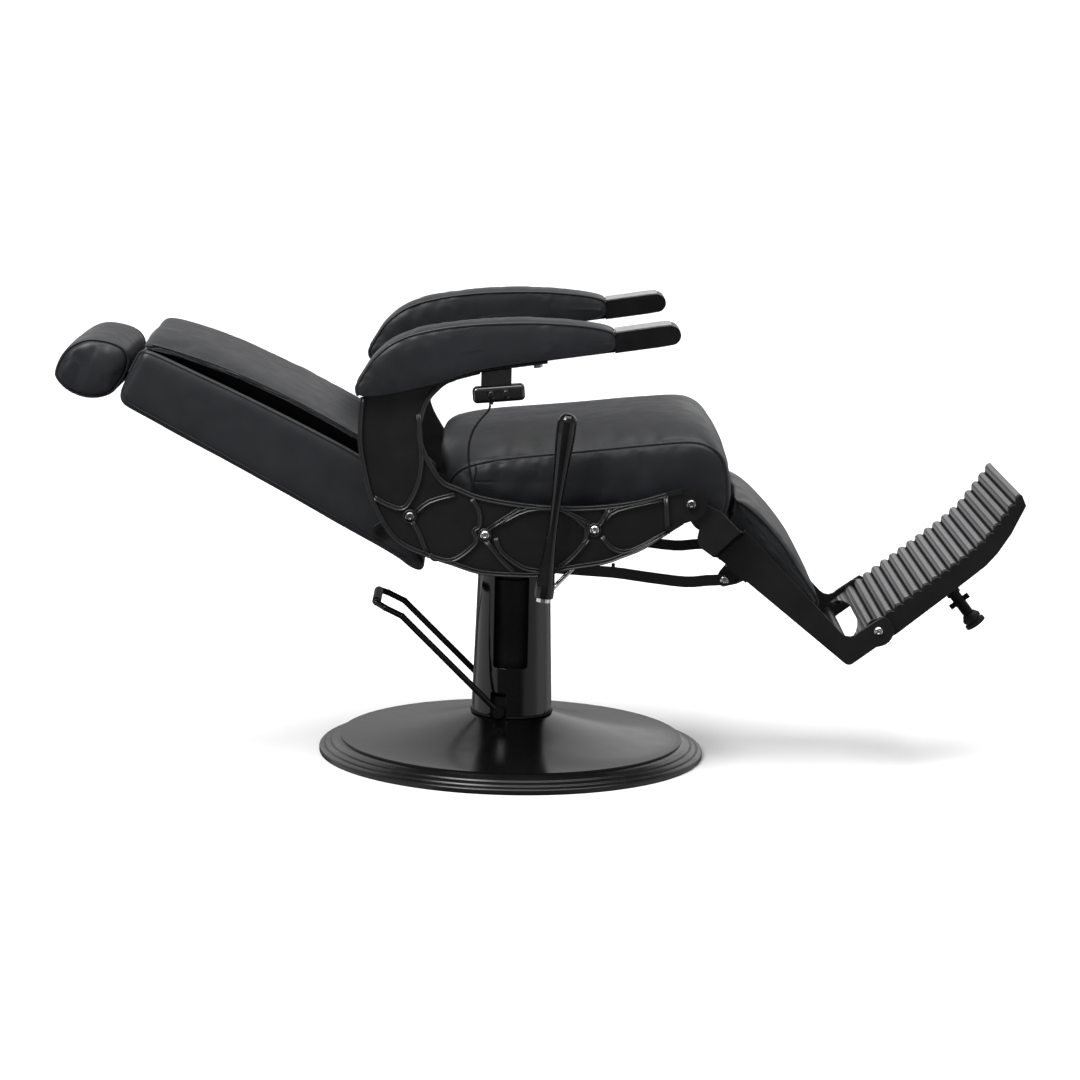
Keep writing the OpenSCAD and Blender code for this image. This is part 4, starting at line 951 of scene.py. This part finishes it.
def back_cushion():
    front_mid = [(-537, 22), (-534, 35), (-520, 43), (-480, 55), (-440, 62), (-400, 67), (-350, 71),
                 (-300, 73), (-251, 74), (-142, 74), (-90, 69), (-60, 62), (-35, 53), (-18, 40),
                 (-14, 22)]
    front_side = [(-535, 15), (-529, 25), (-510, 31), (-480, 38), (-452, 44), (-400, 53.5),
                  (-362, 58.5), (-300, 64), (-251, 67), (-142, 68), (-90, 64), (-60, 57), (-35, 48),
                  (-20, 37), (-16, 26)]
    floor_side = [(-22, 22), (-60, 47), (-142, 59.5), (-251, 58.5), (-300, 55.5), (-362, 50),
                  (-400, 45), (-452, 35.5), (-480, 29), (-514, 19)]
    floor_mid = [(-16, 3), (-60, 3), (-142, 3), (-251, 3), (-300, 3), (-362, 3), (-400, 3),
                 (-452, 3), (-480, 3), (-518, 6)]
    powers = [4.0] * len(front_mid) + [13.0] * len(floor_mid)
    pad = Pad(on_back, lambda p: back_half(p) - CUSHION_INSET, front_side + floor_side,
              front_mid + floor_mid, powers, groove=1.0, puff=0.6, step=11.0)
    spine = [(-505, 25), (-452, 43), (-362, 57), (-251, 66), (-142, 67), (-60, 55), (-30, 40)]
    obj, pins = pad.build("back_pad", spine, LEATHER, lambda p: p.y < 6)
    inflate(obj, pins, 2.2)
    ripple(obj, 1.0, 110.0, 3)
    obj.data.materials.append(SHADE_CLOTH)
    for face in obj.data.polygons:
        # painted shade: the tucked-in underside, which lies in shade, is lined with near-black,
        # dull cloth
        s, t = from_back(face.center)
        face.material_index = int(t < strip_foot(s))
    soften(obj)
    piece(obj, "back", nodes=["back_cushion"])
    run = pad.run((-16, 28), (-522, 24))
    for end, name in SIDES:
        piece(tube("back_edge_" + name, [pad.seam(i, end, 0.5) for i in run], 1.1, PIPING), "back")
        for k, drop in enumerate((3.0, 6.0)):
            line = []
            for i in run:
                p = pad.side[i] + pad.inward(i) * drop
                line.append(on_back(p, end * (pad.half(pad.side[i]) + 0.6)))
            stitches(f"back_stitch_{name}_{k}", line, (0.0, end, 0.0), "back")


def headrest():
    section = [(-646, -105), (-649, -66), (-634, -36), (-613, -20), (-571, -8), (-546, -18),
               (-538, -40), (-539, -70), (-544, -94), (-573, -117), (-609, -123), (-636, -115)]
    centre = Vector((-592, -66))
    fat = [tuple(centre + (Vector(p) - centre) * 1.03) for p in section]
    pad = Pad(on_back, lambda p: 138.0, section, fat, 3.0, puff=12.0, step=9.0)
    obj, pins = pad.build("head_pad", [(-612, -70), (-576, -62)], LEATHER)
    inflate(obj, pins, 2.5)
    ripple(obj, 0.7, 60.0, 4)
    soften(obj)
    piece(obj, "headrest", nodes=["headrest_pillow"])
    piping(pad, "head_piping", "headrest", range(len(pad.side)), closed=True)


ARM_Y = 280.0


def arm_pads():
    under = [(-266, 280), (-150, 305), (-105, 322), (-62, 336.5), (40, 352), (161, 370)]
    tip = [(161, 385)]
    edge = [(160, 404), (127, 412), (82, 416), (24, 418), (-71, 414), (-148, 403), (-205, 386),
            (-243, 356), (-265, 319), (-276, 301)]
    crown = [(160, 406), (120, 415), (82, 420), (5, 423), (-71, 418), (-148, 407), (-186, 397),
             (-224, 377), (-251, 347), (-270, 309)]
    spine = [(-235, 318), (-190, 345), (-120, 362), (-40, 376), (60, 386), (150, 387)]
    for end, name in SIDES:
        pad = Pad(on_deck, lambda p: 37.0, under + tip + edge, under + tip + crown, 3.0,
                  y0=end * ARM_Y, groove=2.5, puff=3.0, step=11.0)
        obj, pins = pad.build("arm_cushion_" + name, spine, LEATHER,
                              lambda p: p.y < 300 + 0.15 * (p.x + 266) + 14)
        inflate(obj, pins, 0.7)
        ripple(obj, 0.4, 90.0, 5)
        soften(obj)
        piece(obj, "seat", nodes=["arm_pad_" + name])
        piping(pad, "arm_piping_" + name, "seat", pad.run((156, 398), (-268, 290)))


def calf_pad():
    top = [(298, 34), (291, 42), (228, 61), (190, 70), (133, 75), (80, 71), (58, 61)]
    gap = arc((0, 0), 82, 46, 20, 4)
    floor = [(84, 15), (140, 14.5), (220, 14.5), (299, 15)]
    top_side = [(s, n - 9) if n > 45 else (s, n) for s, n in top]
    pad = Pad(on_leg, lambda p: 183.0, top_side + gap + floor, top + gap + floor, 3.5,
              puff=4.0, step=10.0)
    obj, pins = pad.build("calf_cushion", [(95, 48), (180, 50), (285, 33)], LEATHER,
                          lambda p: p.y < 24)
    inflate(obj, pins, 3.0)
    ripple(obj, 0.8, 80.0, 6)
    soften(obj)
    piece(obj, "legrest", nodes=["calf_pad", "calf_board"])
    piping(pad, "calf_piping", "legrest", pad.run((298, 31), (72, 38)), radius=2.4)


handset_lead()
panel_ribs()
handset()
seat_cushion()
back_shell()
back_cushion()
headrest()
arm_pads()
calf_pad()


# ---------------------------------------------------------------- stage and light
def studio_world():
    """Pale above and behind, dim towards the floor, as in a white room with dark flags in front."""
    world = bpy.data.worlds.new("studio")
    world.use_nodes = True
    tree = world.node_tree
    ground = tree.nodes["Background"]
    way = tree.nodes.new("ShaderNodeSeparateXYZ")
    tree.links.new(tree.nodes.new("ShaderNodeTexCoord").outputs["Generated"], way.inputs[0])

    def ramp(source, stops):
        """Greys over one component of the direction, which runs from -1 to 1."""
        curve = tree.nodes.new("ShaderNodeValToRGB")
        place = tree.nodes.new("ShaderNodeMapRange")
        place.inputs["From Min"].default_value = -1.0
        place.inputs["From Max"].default_value = 1.0
        tree.links.new(source, place.inputs["Value"])
        tree.links.new(place.outputs["Result"], curve.inputs["Fac"])
        set_ramp(curve, [((at + 1.0) / 2.0, value) for at, value in stops])
        return curve.outputs["Color"]

    height = ramp(way.outputs["Z"], [(-1.0, 0.01), (-0.45, 0.04), (-0.12, 0.14), (0.02, 0.28),
                                     (0.25, 0.5), (1.0, 0.8)])
    depth = ramp(way.outputs["Y"], [(-1.0, 0.75), (-0.2, 0.5), (0.3, 0.9), (1.0, 1.25)])
    # pale boards low down on both sides, which show in upright gloss
    low = ramp(way.outputs["Z"], [(-0.8, 0.0), (-0.5, 1.0), (-0.06, 1.0), (0.04, 0.0)])
    boards = ramp(way.outputs["X"], [(-1.0, 0.7), (-0.74, 0.7), (-0.66, 0.02), (0.45, 0.0),
                                     (0.62, 0.35), (0.93, 0.5), (1.0, 0.9)])

    def mix(mode, a, b):
        node = tree.nodes.new("ShaderNodeMix")
        node.data_type = "RGBA"
        node.blend_type = mode
        node.inputs["Factor"].default_value = 1.0
        tree.links.new(a, node.inputs["A"])
        tree.links.new(b, node.inputs["B"])
        return node.outputs["Result"]

    room = mix("ADD", mix("MULTIPLY", height, depth), mix("MULTIPLY", low, boards))
    tree.links.new(room, ground.inputs["Color"])
    bpy.context.scene.world = world


def stage():
    n = Nodes("studio_floor")
    n.tint(n.noise(2.0), (0.86, 0.86, 0.86), (0.90, 0.90, 0.90))
    n.rough(n.noise(3.0), 0.8, 0.9)
    mat = n.finish(Specular_IOR_Level=0.1)
    reach = 600.0
    floor = new_mesh("floor", [(-reach, -reach, 0), (reach, -reach, 0), (reach, reach, 0),
                               (-reach, reach, 0)], [(0, 1, 2, 3)], mat)
    floor.visible_glossy = False  # gloss shows the world's dark and its boards instead
    studio_world()

    def lamp(name, kind, energy, place, target, size):
        """A lamp; size is a softbox's side in metres, or the width of the sun in degrees."""
        data = bpy.data.lights.new(name, kind)
        data.energy = energy
        if kind == "AREA":
            data.shape = "RECTANGLE"
            data.size = data.size_y = size
        else:
            data.angle = math.radians(size)
        obj = bpy.data.objects.new(name, data)
        obj.location = place
        way = Vector(target) - Vector(place)
        obj.rotation_euler = way.to_track_quat("-Z", "Y").to_euler()
        bpy.context.scene.collection.objects.link(obj)

    lamp("sun", "SUN", 3.2, (0.6, -0.6, 5.0), (0.0, 0.0, 0.0), 60.0)
    lamp("key", "AREA", 220.0, (-2.0, -2.9, 3.6), (-0.1, 0.0, 0.4), 2.0)
    lamp("back_right", "AREA", 14.0, (2.0, 4.6, 1.9), (0.3, 0.0, 0.1), 3.0)
    lamp("back_left", "AREA", 12.0, (-2.8, 3.8, 2.0), (-0.3, 0.0, 0.3), 3.0)


stage()
bpy.context.scene.view_settings.view_transform = "Standard"
